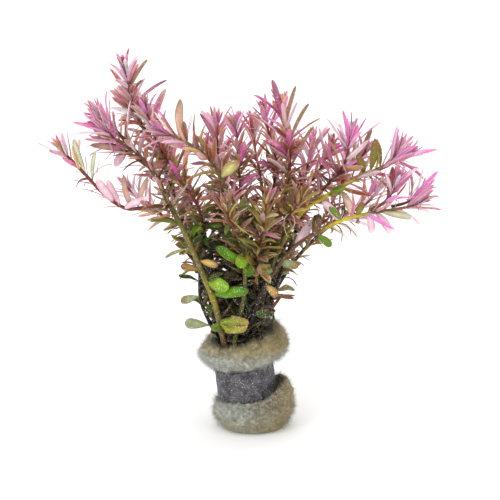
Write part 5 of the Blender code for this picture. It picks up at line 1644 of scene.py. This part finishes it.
def foam_material(name, groups, lighter):
    """Khaki foam: beige and brown patches, browner to the right, grey-white dust low and at the left, painted
    shade next to the ribbon, dark pores that are painted shade in the foam's small hollows, and specks. Every
    colour is scaled by the last argument, which for the hairs is painted light: the pale glow of the fuzz at
    the foam's edges."""
    made, tree, shader, spot = new_material(name, 0.95, 0.4, (2.0, 1.8, 1.4))
    place = spot.outputs["Object"]
    part = tree.nodes.new("ShaderNodeSeparateXYZ")
    tree.links.new(place, part.inputs["Vector"])
    patches = placed(tree, groups["mottle"], Vector=place, Scale=230.0)
    pores = placed(tree, groups["mottle"], Vector=place, Scale=700.0)
    # The colours are scaled by the last argument; for the hairs this is painted light, a lighter copy of the foam for
    # the pale glow of its fuzzy edges.
    khaki = tuple(srgb(208, 198, 152) * lighter)
    brown = tuple(srgb(170, 146, 98) * lighter)
    dusty = tuple(srgb(224, 232, 228) * lighter)
    colour = blended(tree, math_node(tree, "MULTIPLY", patches["Patches"], 0.6), khaki, brown)
    colour = blended(tree, ranged(tree, part.outputs["X"], 0.0, 0.014, 0.0, 0.5), colour, brown)
    hollow = ranged(tree, part.outputs["Z"], 0.0275, 0.0335, 1.0, 0.0)
    lower = ranged(tree, part.outputs["Z"], 0.002, 0.009, 0.5, 1.0)
    left = ranged(tree, part.outputs["X"], -0.006, 0.012, 1.0, 0.15)
    upper_left = math_node(tree, "MAXIMUM", left, ranged(tree, part.outputs["Z"], 0.018, 0.022, 0.0, 0.9))
    dust_share = math_node(tree, "MULTIPLY", math_node(tree, "MULTIPLY", hollow, lower), upper_left)
    dust_share = math_node(tree, "MULTIPLY", dust_share, ranged(tree, patches["Fine"], 0.0, 1.0, 0.55, 1.0))
    colour = blended(tree, dust_share, colour, dusty)
    # Painted shade in the pores: the foam's small hollows are darkened in patches.
    colour = blended(tree, math_node(tree, "MULTIPLY", pores["Patches"], 0.6), colour, (0.5, 0.46, 0.4), "MULTIPLY")
    # Painted shade next to the ribbon: foam at the ribbon's heights and close to the axis is darkened as if the ribbon
    # shaded it, more at the right than at the left. The same zone also gets more specks below.
    level = math_node(
        tree, "MULTIPLY", ranged(tree, part.outputs["Z"], 0.005, 0.011, 0.0, 1.0),
        ranged(tree, part.outputs["Z"], 0.0225, 0.0265, 1.0, 0.0),
    )
    off_axis = math_node(tree, "MULTIPLY_ADD", part.outputs["Z"], math.tan(BASE_LEAN), part.outputs["X"])
    off_axis = math_node(tree, "MULTIPLY", off_axis, off_axis)
    radius_squared = math_node(tree, "MULTIPLY_ADD", part.outputs["Y"], part.outputs["Y"], off_axis)
    near = ranged(tree, math_node(tree, "SQRT", radius_squared), 0.0135, 0.0175, 1.0, 0.0)
    near = math_node(tree, "MULTIPLY", near, ranged(tree, part.outputs["X"], -0.007, 0.003, 0.4, 1.15))
    under = math_node(tree, "MULTIPLY", level, near)
    shade = math_node(tree, "MULTIPLY", under, ranged(tree, patches["Fine"], 0.2, 0.8, 0.3, 1.0))
    colour = blended(tree, shade, colour, (0.36, 0.34, 0.34), "MULTIPLY")
    amount = math_node(tree, "MULTIPLY_ADD", math_node(tree, "MAXIMUM", dust_share, under), 0.8, 0.35)
    dust = placed(tree, groups["speckle"], Vector=place, Amount=amount)
    colour = blended(tree, dust["Mask"], colour, (0.92, 0.92, 0.9))
    tree.links.new(colour, shader.inputs["Base Color"])
    bumped(tree, shader, math_node(tree, "ADD", pores["Patches"], pores["Fine"]), 0.9, 0.0006)
    return made


def lead_material(groups):
    """Dark lead: dull grey with rubbed lighter scuffs, fine grain and specks."""
    made, tree, shader, spot = new_material("dull lead", 0.6, metallic=0.25)
    place = spot.outputs["Object"]
    patches = placed(tree, groups["mottle"], Vector=place, Scale=340.0)
    grain = placed(tree, groups["mottle"], Vector=place, Scale=1300.0)
    dark, light = tuple(srgb(74, 73, 77)), tuple(srgb(128, 126, 130))
    colour = blended(tree, math_node(tree, "MULTIPLY", patches["Patches"], 0.5), dark, light)
    colour = blended(tree, math_node(tree, "MULTIPLY", grain["Patches"], 0.35), colour, tuple(srgb(40, 38, 42)))
    dust = placed(tree, groups["speckle"], Vector=place, Amount=0.8)
    colour = blended(tree, dust["Mask"], colour, (0.8, 0.8, 0.8))
    tree.links.new(colour, shader.inputs["Base Color"])
    tree.links.new(ranged(tree, grain["Fine"], 0.0, 1.0, 0.45, 0.75), shader.inputs["Roughness"])
    bumped(tree, shader, math_node(tree, "ADD", patches["Fine"], grain["Fine"]), 0.4, 0.0001)
    return made


def studio():
    """A white floor under a white sky, and three large soft lights."""
    bpy.ops.mesh.primitive_plane_add(size=6.0, location=(0, 0, 0))
    floor = bpy.context.active_object
    floor.name = "floor"
    white, _, shader, _ = new_material("white floor", 0.9)
    shader.inputs["Base Color"].default_value = (0.93, 0.93, 0.93, 1)
    floor.data.materials.append(white)
    world = bpy.data.worlds.new("white sky")
    world.use_nodes = True
    world.node_tree.nodes["Background"].inputs["Color"].default_value = (1, 1, 1, 1)
    world.node_tree.nodes["Background"].inputs["Strength"].default_value = 1.15
    bpy.context.scene.world = world
    for name, place, size, power in (
        ("key", (-0.35, -0.6, 0.55), 0.4, 1.6),
        ("fill", (0.55, -0.45, 0.3), 0.5, 0.3),
        ("back", (0.1, 0.55, 0.45), 0.6, 0.9),
    ):
        lamp = bpy.data.lights.new(name, "AREA")
        lamp.size = size
        lamp.energy = power
        light = bpy.data.objects.new(name, lamp)
        light.location = place
        light.rotation_euler = (Vector((0, 0, 0.06)) - Vector(place)).to_track_quat("-Z", "Y").to_euler()
        bpy.context.scene.collection.objects.link(light)
    bpy.context.scene.view_settings.view_transform = "Standard"


def camera():
    """Level with the photograph's: 15 degrees down, far off, 187.5 mm of height in view at the bunch."""
    target = Vector((-1.1, 16.9, 63.0)) * MM
    distance = 1.0
    lens = bpy.data.cameras.new("camera")
    lens.sensor_fit = "HORIZONTAL"
    lens.angle = 2 * math.atan(0.5 * 0.1875 / distance)
    lens.clip_start = 0.01
    made = bpy.data.objects.new("camera", lens)
    down = math.radians(15.0)
    made.location = target + distance * Vector((0, -math.cos(down), math.sin(down)))
    made.rotation_euler = (math.radians(90) - down, 0, 0)
    bpy.context.scene.collection.objects.link(made)
    bpy.context.scene.camera = made


def main():
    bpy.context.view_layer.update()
    camera()
    studio()
    groups = {"speckle": speckle_group(), "veins": vein_group(), "mottle": mottle_group()}
    plant_skins = [
        stem_material(groups),
        leaf_material("narrow leaf", groups, 0.8, 0.1, 0.35, (0.7, 0.5, 0.58)),
        leaf_material("broad leaf", groups, 0.3, 0.5, 1.2, (1.35, 1.3, 1.1)),
    ]
    for name, (path, radii) in all_paths().items():
        plant = STEMS.get(name) or SIDES[name]
        course = Course(path, radii, plant.turn)
        plant_piece(name, course, frame["nodes"][name], plant_skins)
    # The hairs get a lighter copy of the foam's skin: painted light, the pale glow of the fuzz at the foam's edges.
    for foam in foam_piece([foam_material("khaki foam", groups, 1.0), foam_material("foam hairs", groups, 1.35)]):
        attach(foam, "root")
    ribbon = ribbon_piece(lead_material(groups))
    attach(ribbon, "root")


main()
